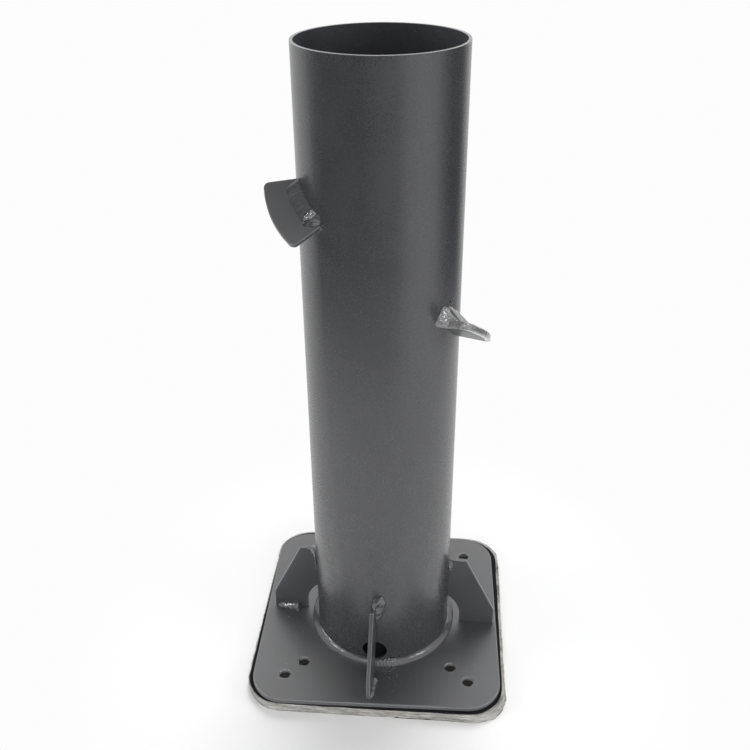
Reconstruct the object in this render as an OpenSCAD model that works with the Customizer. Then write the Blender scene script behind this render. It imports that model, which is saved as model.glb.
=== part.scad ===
// Welded steel base plate with a round socket tube.
// A square bolt-down plate carries the tube, four gussets stiffen its foot,
// and two sloping lugs stand on its side. The plate lies on a rubber mat and a felt pad.
// Millimetres, +Z up, origin on the floor under the middle of the plate, -Y is the front.

/* [Plate] */
// Side of the square steel plate
plate_side = 250; // [246:1:300]
// Thickness of the steel plate
plate_thick = 5; // [4:0.5:12]
// Radius of the plate's corners
plate_corner_r = 34; // [20:1:40]

/* [Bolt holes] */
// Diameter of every bolt hole in the plate, clearance for a 10 mm bolt
bolt_hole_d = 12; // [9:0.5:13]
// Side of the square that the four outer holes lie on
outer_hole_pitch = 185; // [180:1:196]
// Side of the square that the four inner holes lie on
inner_hole_pitch = 150; // [146:1:154]

/* [Tube] */
// Outside diameter of the tube
post_d = 139.7; // [130:0.1:142]
// Wall thickness of the tube
post_wall = 2.6; // [2:0.1:5]
// Length of the tube, from the plate to the rim
post_length = 600; // [400:5:900]
// Turn of the tube and its gussets on the plate, in degrees, seen from above
post_turn = -4; // [-6:0.5:6]
// How far the tube stands to the right of the plate's middle
post_offset_x = 2.5; // [-3:0.1:3]
// How far the tube stands behind the plate's middle, below zero in front of it
post_offset_y = -1.7; // [-3:0.1:3]

/* [Drain hole] */
// Diameter of the drain hole at the tube's foot
drain_d = 25; // [12:0.5:27]
// Height of the drain hole's middle above the plate
drain_height = 16; // [14:0.5:24]

/* [Gussets] */
// Thickness of a gusset
gusset_thick = 4; // [3:0.5:8]
// Height of a gusset
gusset_height = 85; // [70:1:110]
// Width of a gusset's flat top
gusset_top_width = 18; // [12:0.5:24]
// Height of a gusset's upright outer edge
gusset_edge_height = 20; // [10:0.5:30]
// How far a gusset reaches out from the tube
gusset_reach = 49.5; // [40:0.5:50]
// Width of the cope that lets the foot weld pass under a gusset
cope_width = 13; // [10:0.5:18]
// Height at which the cope meets the tube
cope_height = 35; // [30:0.5:40]
// Height of the cope's straight lower part
cope_straight = 10; // [8:0.5:12]

/* [Welds] */
// Width of the fillet weld round the tube's foot
foot_weld_width = 8.5; // [5:0.5:9]
// Height of the fillet weld round the tube's foot
foot_weld_height = 6; // [4:0.5:8]
// Leg of the gusset welds
gusset_weld_leg = 7; // [4:0.5:8]
// Length of the weld between a gusset and the tube, down from the gusset's top
post_weld_length = 28; // [16:1:34]
// Length of the weld between a gusset and the plate
plate_weld_length = 22; // [16:1:26]
// Gap between that weld and the gusset's outer edge
plate_weld_inset = 6; // [0:0.5:8]
// Width of the left lug's weld on the lug
lug_left_weld_width = 9.5; // [5:0.5:14]
// Height of the left lug's weld on the tube
lug_left_weld_height = 5.5; // [3:0.5:8]
// Width of the right lug's weld on the lug
lug_right_weld_width = 12; // [5:0.5:14]
// Height of the right lug's weld on the tube
lug_right_weld_height = 11; // [3:0.5:12]
// Length of the lug welds
lug_weld_length = 40; // [30:1:42]

/* [Lugs] */
// Thickness of a lug
lug_thick = 5; // [4:0.5:8]
// How far a lug reaches out from the tube
lug_reach = 30; // [24:0.5:40]
// Length of a lug where it meets the tube
lug_root_length = 46; // [42:1:54]
// Length of a lug near its outer corners
lug_tip_length = 60; // [58:1:70]
// Radius of a lug's curved outer edge
lug_edge_r = 80; // [60:5:200]
// Radius of a lug's outer corners
lug_corner_r = 5; // [1:0.5:6]
// Slope of the left lug round the tube, in degrees
lug_left_slope = 38; // [20:1:45]
// Slope of the right lug round the tube, in degrees
lug_right_slope = 35; // [20:1:45]
// Dip of the left lug's outer edge, in degrees
lug_left_dip = 20; // [0:0.5:22]
// Dip of the right lug's outer edge, in degrees, below zero where the edge stands up
lug_right_dip = -4; // [-8:0.5:22]
// Direction of the left lug's middle, in degrees from +X
lug_left_turn = -146; // [-152:0.5:-142]
// Turn from the left lug to the right lug, in degrees
lug_spacing = 120; // [110:1:130]
// Depth of the left lug's middle below the rim of the tube
lug_left_depth = 119; // [80:0.5:150]
// Drop from the left lug to the right lug
lug_drop = 111; // [60:1:120]

/* [Rubber mat and felt pad] */
// Thickness of the rubber mat
mat_thick = 2; // [1:0.5:4]
// How far the rubber mat reaches beyond half the plate's side, on every side
mat_margin = 5.5; // [5:0.5:8]
// Thickness of the felt pad
pad_thick = 10; // [5:0.5:15]
// Radius of the rubber mat's corners
mat_corner_r = 37; // [26:1:40]
// How far the felt pad reaches beyond the rubber mat on every side
pad_margin = 0.5; // [0.5:0.5:5]
// Turn of the mat and the pad under the plate, in degrees, seen from above
mat_turn = -1; // [-1.5:0.1:1]
// How far the plate's middle lies to the right of the pad's middle
plate_shift_x = -1.4; // [-3:0.1:3]
// How far the plate's middle lies behind the pad's middle, below zero in front of it
plate_shift_y = -4.8; // [-5:0.1:3]
// Extra diameter of the holes punched through the mat and the pad
punch_clearance = 2; // [1:0.5:4]

/* [Hidden] */
$fn = 96;
// Length by which a cutting shape runs past what it cuts
over = 1;
plate_bottom = pad_thick + mat_thick;
plate_top = plate_bottom + plate_thick;
post_r = post_d / 2;
// Middle of the plate, seen from above
plate_middle = [plate_shift_x, plate_shift_y];
rim_height = plate_top + post_length;
// The cope's arc starts upright at the top of the straight part and ends on the tube
cope_rise = cope_height - cope_straight;
cope_r = (cope_width * cope_width + cope_rise * cope_rise) / (2 * cope_width);
// Directions of the gussets, in degrees from +X
front_turn = post_turn - 90;
right_turn = post_turn;
rear_turn = post_turn + 90;
left_turn = post_turn + 180;
lug_right_turn = lug_left_turn + lug_spacing;
lug_right_depth = lug_left_depth + lug_drop;
steel = [0.24, 0.25, 0.26];
weld_steel = [0.30, 0.31, 0.32];

// Square with round corners, as a flat outline
module rounded_square(side, corner_r) {
    square([side - 2 * corner_r, side], center = true);
    square([side, side - 2 * corner_r], center = true);
    for (x = [-1, 1], y = [-1, 1]) {
        translate([x, y] * (side / 2 - corner_r))
            circle(r = corner_r);
    }
}

// Flat sheet with round corners and the eight bolt holes, lying from z up
module drilled_sheet(side, corner_r, thick, z, hole_d, middle = [0, 0], turn = 0) {
    difference() {
        translate([middle[0], middle[1], z])
            rotate([0, 0, turn])
                linear_extrude(thick)
                    rounded_square(side, corner_r);
        for (pitch = [outer_hole_pitch, inner_hole_pitch], x = [-1, 1], y = [-1, 1]) {
            translate([plate_middle[0] + x * pitch / 2, plate_middle[1] + y * pitch / 2, z - over])
                cylinder(d = hole_d, h = thick + 2 * over);
        }
    }
}

// Moves what is built round the tube's axis to its place on the plate
module on_post() {
    translate([plate_middle[0] + post_offset_x, plate_middle[1] + post_offset_y, 0])
        children();
}

// Solid as wide as the tube, round its axis, used to cut what is welded against it
module post_solid() {
    translate([0, 0, plate_top - over])
        cylinder(r = post_r, h = post_length + 2 * over, $fn = 180);
}

// Outline of a gusset: x runs out from the tube's axis, y runs up from the plate
module gusset_outline() {
    difference() {
        translate([post_r, 0])
            polygon([
                [-over, 0],
                [gusset_reach, 0],
                [gusset_reach, gusset_edge_height],
                [gusset_top_width, gusset_height],
                [-over, gusset_height]
            ]);
        translate([post_r - over, -over])
            square([cope_width + over, cope_straight + over]);
        translate([post_r + cope_width - cope_r, cope_straight])
            circle(r = cope_r);
    }
}

// Upright gusset plate that stands out from the tube in the given direction
module gusset(turn) {
    color(steel)
        on_post()
            difference() {
                rotate([0, 0, turn])
                    translate([0, gusset_thick / 2, plate_top])
                        rotate([90, 0, 0])
                            linear_extrude(gusset_thick)
                                gusset_outline();
                post_solid();
            }
}

// Round bead along +Z with domed ends
module bead(length, leg) {
    translate([0, 0, leg])
        cylinder(r = leg, h = length - 2 * leg, $fn = 48);
    for (z = [leg, length - leg]) {
        translate([0, 0, z])
            sphere(r = leg, $fn = 48);
    }
}

// Space beside a gusset's face, to the side given as -1 or 1, down to the plate
module beside_gusset(side) {
    translate([0, (side - 1) / 2 * post_r + side * gusset_thick / 2, plate_top])
        cube([2 * post_r + gusset_reach, post_r, gusset_height]);
}

// Fillet between a gusset and the tube, down from the gusset's top
module gusset_post_weld(turn, side, length) {
    color(weld_steel)
        on_post()
            difference() {
                rotate([0, 0, turn])
                    intersection() {
                        translate([post_r, side * gusset_thick / 2, plate_top + gusset_height - length])
                            bead(length, gusset_weld_leg);
                        beside_gusset(side);
                    }
                post_solid();
            }
}

// Fillet between a gusset and the plate
module gusset_plate_weld(turn, side) {
    weld_start = post_r + gusset_reach - plate_weld_inset - plate_weld_length;
    color(weld_steel)
        on_post()
            rotate([0, 0, turn])
                intersection() {
                    translate([weld_start, side * gusset_thick / 2, plate_top])
                        rotate([0, 90, 0])
                            bead(plate_weld_length, gusset_weld_leg);
                    beside_gusset(side);
                }
}

// Puts a lug's own frame on the tube: x out, y downhill round the tube, z up from its face
module place_lug(turn, depth, slope, dip) {
    rotate([0, 0, turn])
        translate([post_r, 0, rim_height - depth])
            rotate([-slope, 0, 0])
                rotate([0, dip, 0])
                    children();
}

// Flat lug with a curved outer edge, its upper face at z = 0
module lug_blank() {
    corner_x = sqrt(pow(lug_edge_r - lug_corner_r, 2) - pow(lug_tip_length / 2 - lug_corner_r, 2));
    translate([0, 0, -lug_thick])
        linear_extrude(lug_thick)
            hull() {
                translate([-post_wall * 2, -lug_root_length / 2])
                    square([post_wall, lug_root_length]);
                for (y = [-1, 1]) {
                    translate([lug_reach - lug_edge_r + corner_x, y * (lug_tip_length / 2 - lug_corner_r)])
                        circle(r = lug_corner_r);
                }
                intersection() {
                    translate([lug_reach - lug_edge_r, 0])
                        circle(r = lug_edge_r, $fn = 180);
                    translate([0, -lug_tip_length / 2 + 2 * lug_corner_r])
                        square([lug_reach, lug_tip_length - 4 * lug_corner_r]);
                }
            }
}

// Sloping lug on the tube
module lug(turn, depth, slope, dip) {
    color(steel)
        on_post()
            difference() {
                place_lug(turn, depth, slope, dip)
                    lug_blank();
                post_solid();
            }
}

// Flat-faced fillet between a lug's upper face and the tube, which leans back by the dip
module lug_weld(turn, depth, slope, dip, width, height) {
    weld_top = height * [-sin(dip), cos(dip)];
    color(weld_steel)
        on_post()
            difference() {
                place_lug(turn, depth, slope, dip)
                    translate([0, lug_weld_length / 2, 0])
                        rotate([90, 0, 0])
                            linear_extrude(lug_weld_length)
                                polygon([
                                    [-lug_reach / 2, 0],
                                    [width, 0],
                                    weld_top,
                                    [-lug_reach / 2, weld_top[1]]
                                ]);
                post_solid();
            }
}

module felt_pad() {
    color([0.62, 0.60, 0.56])
        drilled_sheet(plate_side + 2 * (mat_margin + pad_margin), mat_corner_r + pad_margin,
            pad_thick, 0, bolt_hole_d + 2 * punch_clearance, turn = mat_turn);
}

module rubber_mat() {
    color([0.05, 0.05, 0.05])
        drilled_sheet(plate_side + 2 * mat_margin, mat_corner_r,
            mat_thick, pad_thick, bolt_hole_d + punch_clearance, turn = mat_turn);
}

module base_plate() {
    color(steel)
        drilled_sheet(plate_side, plate_corner_r, plate_thick, plate_bottom, bolt_hole_d, plate_middle);
}

module post_tube() {
    color(steel)
        on_post()
            difference() {
                translate([0, 0, plate_top])
                    cylinder(r = post_r, h = post_length, $fn = 180);
                translate([0, 0, plate_top - over])
                    cylinder(r = post_r - post_wall, h = post_length + 2 * over, $fn = 180);
                rotate([0, 0, front_turn])
                    translate([post_r / 2, 0, plate_top + drain_height])
                        rotate([0, 90, 0])
                            cylinder(d = drain_d, h = post_r);
            }
}

module foot_weld() {
    color(weld_steel)
        on_post()
            translate([0, 0, plate_top])
                rotate_extrude($fn = 180)
                    translate([post_r, 0])
                        polygon([[0, 0], [foot_weld_width, 0], [0, foot_weld_height]]);
}

module gusset_front() {
    gusset(front_turn);
}

module gusset_right() {
    gusset(right_turn);
}

module gusset_rear() {
    gusset(rear_turn);
}

module gusset_left() {
    gusset(left_turn);
}

module gusset_front_post_weld() {
    gusset_post_weld(front_turn, 1, post_weld_length);
}

module gusset_right_post_weld() {
    gusset_post_weld(right_turn, -1, post_weld_length / 2);
}

module gusset_rear_post_weld() {
    gusset_post_weld(rear_turn, 1, post_weld_length);
}

module gusset_left_post_weld() {
    gusset_post_weld(left_turn, 1, post_weld_length);
}

module gusset_front_plate_weld() {
    gusset_plate_weld(front_turn, 1);
}

module gusset_right_plate_weld() {
    gusset_plate_weld(right_turn, 1);
}

module gusset_rear_plate_weld() {
    gusset_plate_weld(rear_turn, 1);
}

module gusset_left_plate_weld() {
    gusset_plate_weld(left_turn, 1);
}

module lug_left() {
    lug(lug_left_turn, lug_left_depth, lug_left_slope, lug_left_dip);
}

module lug_right() {
    lug(lug_right_turn, lug_right_depth, lug_right_slope, lug_right_dip);
}

module lug_left_weld() {
    lug_weld(lug_left_turn, lug_left_depth, lug_left_slope, lug_left_dip,
        lug_left_weld_width, lug_left_weld_height);
}

module lug_right_weld() {
    lug_weld(lug_right_turn, lug_right_depth, lug_right_slope, lug_right_dip,
        lug_right_weld_width, lug_right_weld_height);
}

felt_pad();
rubber_mat();
base_plate();
post_tube();
foot_weld();
gusset_front();
gusset_right();
gusset_rear();
gusset_left();
gusset_front_post_weld();
gusset_right_post_weld();
gusset_rear_post_weld();
gusset_left_post_weld();
gusset_front_plate_weld();
gusset_right_plate_weld();
gusset_rear_plate_weld();
gusset_left_plate_weld();
lug_left();
lug_right();
lug_left_weld();
lug_right_weld();
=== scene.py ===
"""Looks of a welded steel base plate with a round socket tube.

The plate stands on a rubber mat and a felt pad, four gussets stiffen the foot of the
tube, and two lugs are welded to its side. Everything is in metres, in the frame of the
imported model: +Z up, origin on the floor under the middle of the felt pad, -Y the front.
"""

import logging
import math
import random
from collections.abc import Sequence
from dataclasses import dataclass, field
from enum import Enum
from functools import cache
from typing import Any

import bmesh
import bpy
from mathutils import Matrix, Vector, noise
from mathutils.geometry import tessellate_polygon


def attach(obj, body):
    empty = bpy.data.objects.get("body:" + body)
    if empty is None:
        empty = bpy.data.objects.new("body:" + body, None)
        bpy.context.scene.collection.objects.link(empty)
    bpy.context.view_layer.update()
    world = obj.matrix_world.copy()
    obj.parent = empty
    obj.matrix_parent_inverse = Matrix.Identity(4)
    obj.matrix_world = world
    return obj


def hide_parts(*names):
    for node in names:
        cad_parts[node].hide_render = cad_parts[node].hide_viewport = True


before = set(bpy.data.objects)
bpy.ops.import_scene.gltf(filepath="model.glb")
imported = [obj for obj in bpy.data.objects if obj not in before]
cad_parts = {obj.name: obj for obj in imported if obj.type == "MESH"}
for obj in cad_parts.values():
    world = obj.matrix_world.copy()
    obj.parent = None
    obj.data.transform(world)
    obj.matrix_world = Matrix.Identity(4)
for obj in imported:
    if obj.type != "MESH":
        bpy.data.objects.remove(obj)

log = logging.getLogger("base_plate")

BODY = "root"


class Side(Enum):
    """Directions of the gussets, in degrees from +X before the tube's own turn."""

    FRONT = -90.0
    RIGHT = 0.0
    REAR = 90.0
    LEFT = 180.0


class Hand(Enum):
    """Which face of a gusset carries a weld, seen from the tube's axis outwards."""

    LEFT = 1
    RIGHT = -1


@dataclass(frozen=True)
class PartSizes:
    """Sizes that several pieces share, as in the part's source."""

    felt_thick: float = 0.010
    mat_thick: float = 0.002
    plate_side: float = 0.250
    plate_thick: float = 0.005
    plate_corner: float = 0.034
    plate_middle: tuple[float, float] = (-0.0014, -0.0048)
    hole_radius: float = 0.006
    hole_squares: tuple[float, float] = (0.185, 0.150)
    tube_radius: float = 0.06985
    tube_wall: float = 0.0026
    tube_length: float = 0.600
    tube_middle: tuple[float, float] = (0.0011, -0.0065)
    tube_turn: float = -4.0
    gusset_thick: float = 0.004
    gusset_height: float = 0.085

    @property
    def plate_bottom(self) -> float:
        """Height of the plate's underside."""
        return self.felt_thick + self.mat_thick

    @property
    def plate_top(self) -> float:
        """Height of the plate's upper face."""
        return self.plate_bottom + self.plate_thick

    @property
    def rim_height(self) -> float:
        """Height of the tube's rim."""
        return self.plate_top + self.tube_length

    def hole_centres(self) -> list[tuple[float, float]]:
        """Middles of the eight bolt holes, seen from above."""
        return [
            (self.plate_middle[0] + x * square / 2, self.plate_middle[1] + y * square / 2)
            for square in self.hole_squares
            for x in (-1, 1)
            for y in (-1, 1)
        ]

    def beside_tube(self, turn: float, out: float, aside: float, height: float) -> Vector:
        """Turns a place given round the tube into a point of the frame.

        Args:
            turn: Direction from the tube's axis, in degrees from +X.
            out: Distance from the axis along that direction.
            aside: Distance from that line, to its left.
            height: Height above the floor.

        Returns:
            The point, in metres.
        """
        angle = math.radians(turn)
        x = self.tube_middle[0] + out * math.cos(angle) - aside * math.sin(angle)
        y = self.tube_middle[1] + out * math.sin(angle) + aside * math.cos(angle)
        return Vector((x, y, height))

    def from_axis(self, place: Vector) -> Vector:
        """Gives the level vector from the tube's axis to a place."""
        return Vector((place.x - self.tube_middle[0], place.y - self.tube_middle[1], 0.0))


SIZES = PartSizes()


class NodeBench:
    """Adds and joins nodes in one tree."""

    def __init__(self, tree: bpy.types.NodeTree) -> None:
        """Keeps the tree that the nodes go into."""
        self.tree = tree

    def add(self, kind: str, **settings: Any) -> bpy.types.Node:
        """Adds a node and sets its properties.

        Args:
            kind: Blender's name of the node type.
            **settings: Properties of the node.

        Returns:
            The new node.
        """
        node = self.tree.nodes.new(kind)
        for key, value in settings.items():
            setattr(node, key, value)
        return node

    def feed(self, socket: bpy.types.NodeSocket, value: Any) -> None:
        """Links a socket into another, or sets it to a plain value.

        Args:
            socket: The input.
            value: A socket or a plain value.
        """
        if isinstance(value, bpy.types.NodeSocket):
            self.tree.links.new(value, socket)
        else:
            socket.default_value = value

    def put(self, kind: str, inputs: dict[Any, Any], **settings: Any) -> bpy.types.Node:
        """Adds a node and feeds its inputs.

        Args:
            kind: Blender's name of the node type.
            inputs: What goes into its inputs, by name or number.
            **settings: Properties of the node.

        Returns:
            The new node.
        """
        return self.fill(self.add(kind, **settings), inputs)

    def fill(self, node: bpy.types.Node, inputs: dict[Any, Any]) -> bpy.types.Node:
        """Feeds some of a node's inputs.

        Args:
            node: The node.
            inputs: What goes into them, by name or number.

        Returns:
            The same node.
        """
        for key, value in inputs.items():
            self.feed(node.inputs[key], value)
        return node

    def math(self, operation: str, *values: Any, clamp: bool = False) -> bpy.types.NodeSocket:
        """Works out a number, kept from 0 to 1 if asked."""
        inputs = dict(enumerate(values))
        return self.put("ShaderNodeMath", inputs, operation=operation, use_clamp=clamp).outputs[0]

    def vector(self, operation: str, *values: Any) -> bpy.types.NodeSocket:
        """Works out a vector."""
        inputs = dict(enumerate(values))
        return self.put("ShaderNodeVectorMath", inputs, operation=operation).outputs[0]

    def scaled(self, vector: Any, factor: Any) -> bpy.types.NodeSocket:
        """Scales a vector."""
        inputs = {0: vector, "Scale": factor}
        return self.put("ShaderNodeVectorMath", inputs, operation="SCALE").outputs[0]

    def length(self, vector: Any) -> bpy.types.NodeSocket:
        """Measures a vector."""
        return self.put("ShaderNodeVectorMath", {0: vector}, operation="LENGTH").outputs["Value"]

    def combine(self, x: Any = 0.0, y: Any = 0.0, z: Any = 0.0) -> bpy.types.NodeSocket:
        """Makes a vector of three numbers."""
        return self.put("ShaderNodeCombineXYZ", {"X": x, "Y": y, "Z": z}).outputs["Vector"]

    def span(self, value: Any, given: Sequence[float], wanted: Sequence[float]) -> bpy.types.NodeSocket:
        """Turns one span of numbers into another, clamped."""
        ends = dict(zip(("From Min", "From Max", "To Min", "To Max"), (*given, *wanted)))
        return self.put("ShaderNodeMapRange", {"Value": value, **ends}, clamp=True).outputs["Result"]

    def ramp(self, value: Any, low: Any, high: Any) -> bpy.types.NodeSocket:
        """Turns low..high into 0..1 smoothly."""
        inputs = {"Value": value, "From Min": low, "From Max": high}
        return self.put("ShaderNodeMapRange", inputs, interpolation_type="SMOOTHSTEP").outputs["Result"]

    def attribute(self, name: str, kind: str = "FLOAT_VECTOR") -> bpy.types.NodeSocket:
        """Reads a named attribute of the geometry."""
        node = self.put("GeometryNodeInputNamedAttribute", {"Name": name}, data_type=kind)
        return node.outputs["Attribute"]

    def noise(self, vector: Any, scale: Any, detail: float, seed: Any) -> bpy.types.NodeSocket:
        """Gives seeded noise from 0 to 1."""
        inputs = {"Vector": vector, "W": seed, "Scale": scale, "Detail": detail}
        return self.put("ShaderNodeTexNoise", inputs, noise_dimensions="4D").outputs["Fac"]

    def blend(self, share: Any, first: Any, second: Any) -> bpy.types.NodeSocket:
        """Mixes the first colour into the second."""
        inputs = {"Factor": share, "A": first, "B": second}
        return self.put("ShaderNodeMix", inputs, data_type="RGBA").outputs["Result"]

    def place(self) -> bpy.types.NodeSocket:
        """Gives the place on a piece, in metres."""
        return self.add("ShaderNodeTexCoord").outputs["Object"]


@dataclass(frozen=True)
class Port:
    """One named input or output of a node group."""

    name: str
    kind: str
    default: Any = None
    outward: bool = False


NewGroup = tuple[NodeBench, bpy.types.Node, bpy.types.Node]


def new_group(name: str, kind: str, ports: Sequence[Port]) -> NewGroup:
    """Makes an empty node group with named sockets.

    Args:
        name: Name of the group.
        kind: "ShaderNodeTree" or "GeometryNodeTree".
        ports: The group's inputs and outputs.

    Returns:
        The bench, the group's input node and its output node.
    """
    tree = bpy.data.node_groups.new(name, kind)
    for port in ports:
        socket = tree.interface.new_socket(
            name=port.name, in_out="OUTPUT" if port.outward else "INPUT", socket_type=port.kind
        )
        if port.default is not None:
            socket.default_value = port.default
    bench = NodeBench(tree)
    return bench, bench.add("NodeGroupInput"), bench.add("NodeGroupOutput")


NUMBER = "NodeSocketFloat"
WHOLE = "NodeSocketInt"
COLOUR = "NodeSocketColor"
SHAPE = "NodeSocketGeometry"
FINISH = "NodeSocketMaterial"

Colour = tuple[float, float, float, float]


FINE_SHARE, BROAD_SHARE = 0.55, 0.45
FINE_SEED, BROAD_SEED = 1.7, 5.1
SECOND_TINT_FROM, SECOND_TINT_TO = 0.35, 0.65
ROUGHNESS_GAIN = 4.0
SPECK_RELIEF = 3.0


class SurfaceEffects:
    """Shader node groups that several finishes use, each built once."""

    @staticmethod
    @cache
    def grain() -> bpy.types.NodeTree:
        """Builds fine grain over broad cloudy patches, as on sprayed paint."""
        bench, given, result = new_group(
            "sprayed_grain",
            "ShaderNodeTree",
            [
                Port("Tint", COLOUR, (0.1, 0.1, 0.1, 1.0)),
                Port("Second tint", COLOUR, (0.12, 0.12, 0.12, 1.0)),
                Port("Grain size", NUMBER, 0.0008),
                Port("Cloud size", NUMBER, 0.06),
                Port("Roughness", NUMBER, 0.35),
                Port("Roughness spread", NUMBER, 0.05),
                Port("Color", COLOUR, outward=True),
                Port("Roughness", NUMBER, outward=True),
                Port("Height", NUMBER, outward=True),
            ],
        )
        take = given.outputs
        place = bench.place()
        fine = bench.noise(place, bench.math("DIVIDE", 1.0, take["Grain size"]), 3.0, FINE_SEED)
        broad = bench.noise(place, bench.math("DIVIDE", 1.0, take["Cloud size"]), 2.0, BROAD_SEED)
        share = bench.math("MULTIPLY_ADD", fine, FINE_SHARE, bench.math("MULTIPLY", broad, BROAD_SHARE))
        second = bench.ramp(share, SECOND_TINT_FROM, SECOND_TINT_TO)
        colour = bench.blend(second, take["Tint"], take["Second tint"])
        bench.feed(result.inputs["Color"], colour)
        offset = bench.math("SUBTRACT", share, 0.5)
        offset = bench.math("MULTIPLY", offset, take["Roughness spread"])
        rough = bench.math("MULTIPLY_ADD", offset, ROUGHNESS_GAIN, take["Roughness"], clamp=True)
        bench.fill(result, {"Roughness": rough, "Height": fine})
        return bench.tree

    @staticmethod
    @cache
    def specks() -> bpy.types.NodeTree:
        """Builds sparse round specks, as of dust caught in paint."""
        bench, given, result = new_group(
            "caught_specks",
            "ShaderNodeTree",
            [
                Port("Spacing", NUMBER, 0.012),
                Port("Speck size", NUMBER, 0.0006),
                Port("Share", NUMBER, 0.3),
                Port("Mask", NUMBER, outward=True),
            ],
        )
        take = given.outputs
        place = bench.place()
        inputs = {"Vector": place, "Scale": bench.math("DIVIDE", 1.0, take["Spacing"])}
        cells = bench.put("ShaderNodeTexVoronoi", inputs, voronoi_dimensions="3D", feature="F1")
        reach = bench.math("MULTIPLY", cells.outputs["Distance"], take["Spacing"])
        near = bench.math("SUBTRACT", 1.0, bench.ramp(reach, 0.0, take["Speck size"]))
        pick = bench.put("ShaderNodeSeparateColor", {"Color": cells.outputs["Color"]})
        chosen = bench.math("LESS_THAN", pick.outputs["Red"], take["Share"])
        bench.feed(result.inputs["Mask"], bench.math("MULTIPLY", near, chosen))
        return bench.tree


def new_material(name: str) -> tuple[bpy.types.Material, NodeBench, bpy.types.Node]:
    """Makes a node material with an empty Principled shader.

    Args:
        name: Name of the material.

    Returns:
        The material, its bench and the Principled node.
    """
    material = bpy.data.materials.new(name)
    material.use_nodes = True
    bench = NodeBench(material.node_tree)
    return material, bench, material.node_tree.nodes["Principled BSDF"]


def put_group(bench: NodeBench, tree: bpy.types.NodeTree, **values: Any) -> bpy.types.Node:
    """Places a node group and sets its inputs.

    Args:
        bench: Bench of the material.
        tree: The group.
        **values: Inputs by name, with underscores for spaces.

    Returns:
        The group's node.
    """
    inputs = {key.replace("_", " "): value for key, value in values.items()}
    return bench.put("ShaderNodeGroup", inputs, node_tree=tree)


def raise_skin(bench: NodeBench, shader: bpy.types.Node, height: Any, depth: float) -> None:
    """Gives a finish its fine relief."""
    relief = {"Height": height, "Distance": depth, "Strength": 1.0}
    bench.feed(shader.inputs["Normal"], bench.put("ShaderNodeBump", relief).outputs["Normal"])


def grey(level: float, cool: float = 0.004) -> Colour:
    """Mixes an anthracite grey from its red share and the blue that it has on top."""
    return (level, level + 0.001, level + cool, 1.0)


@dataclass(frozen=True)
class PaintFinish:
    """Anthracite paint sprayed over steel, satin on plates and glossy on welds."""

    name: str
    tint: Colour
    second_tint: Colour
    roughness: float = 0.27
    roughness_spread: float = 0.05
    refraction: float = 1.7
    grain_size: float = 0.0009
    grain_depth: float = 0.00002
    cloud_size: float = 0.05
    speck_tint: Colour = (0.16, 0.16, 0.165, 1.0)
    speck_spacing: float = 0.016
    speck_size: float = 0.0006
    speck_share: float = 0.25
    coat: float = 0.0

    def make(self) -> bpy.types.Material:
        """Builds the material and returns it."""
        material, bench, shader = new_material(self.name)
        grain = put_group(
            bench,
            SurfaceEffects.grain(),
            Tint=self.tint,
            Second_tint=self.second_tint,
            Grain_size=self.grain_size,
            Cloud_size=self.cloud_size,
            Roughness=self.roughness,
            Roughness_spread=self.roughness_spread,
        )
        specks = put_group(
            bench,
            SurfaceEffects.specks(),
            Spacing=self.speck_spacing,
            Speck_size=self.speck_size,
            Share=self.speck_share,
        )
        colour = bench.blend(specks.outputs["Mask"], grain.outputs["Color"], self.speck_tint)
        inputs = {
            "Base Color": colour,
            "Roughness": grain.outputs["Roughness"],
            "IOR": self.refraction,
            "Coat Weight": self.coat,
            "Coat Roughness": 0.1,
        }
        bench.fill(shader, inputs)
        standing = bench.math("MULTIPLY", specks.outputs["Mask"], SPECK_RELIEF)
        height = bench.math("ADD", grain.outputs["Height"], standing)
        raise_skin(bench, shader, height, self.grain_depth)
        return material


@dataclass(frozen=True)
class RubberFinish:
    """Black rubber with a dull, faintly cloudy skin."""

    name: str = "black_rubber"
    tint: Colour = (0.004, 0.004, 0.005, 1.0)
    second_tint: Colour = (0.009, 0.009, 0.010, 1.0)

    def make(self) -> bpy.types.Material:
        """Builds the material and returns it."""
        material, bench, shader = new_material(self.name)
        grain = put_group(
            bench,
            SurfaceEffects.grain(),
            Tint=self.tint,
            Second_tint=self.second_tint,
            Grain_size=0.0015,
            Cloud_size=0.02,
            Roughness=0.9,
            Roughness_spread=0.02,
        )
        inputs = {
            "Base Color": grain.outputs["Color"],
            "Roughness": grain.outputs["Roughness"],
            "Specular IOR Level": 0.2,
        }
        bench.fill(shader, inputs)
        raise_skin(bench, shader, grain.outputs["Height"], 0.0002)
        return material


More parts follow.
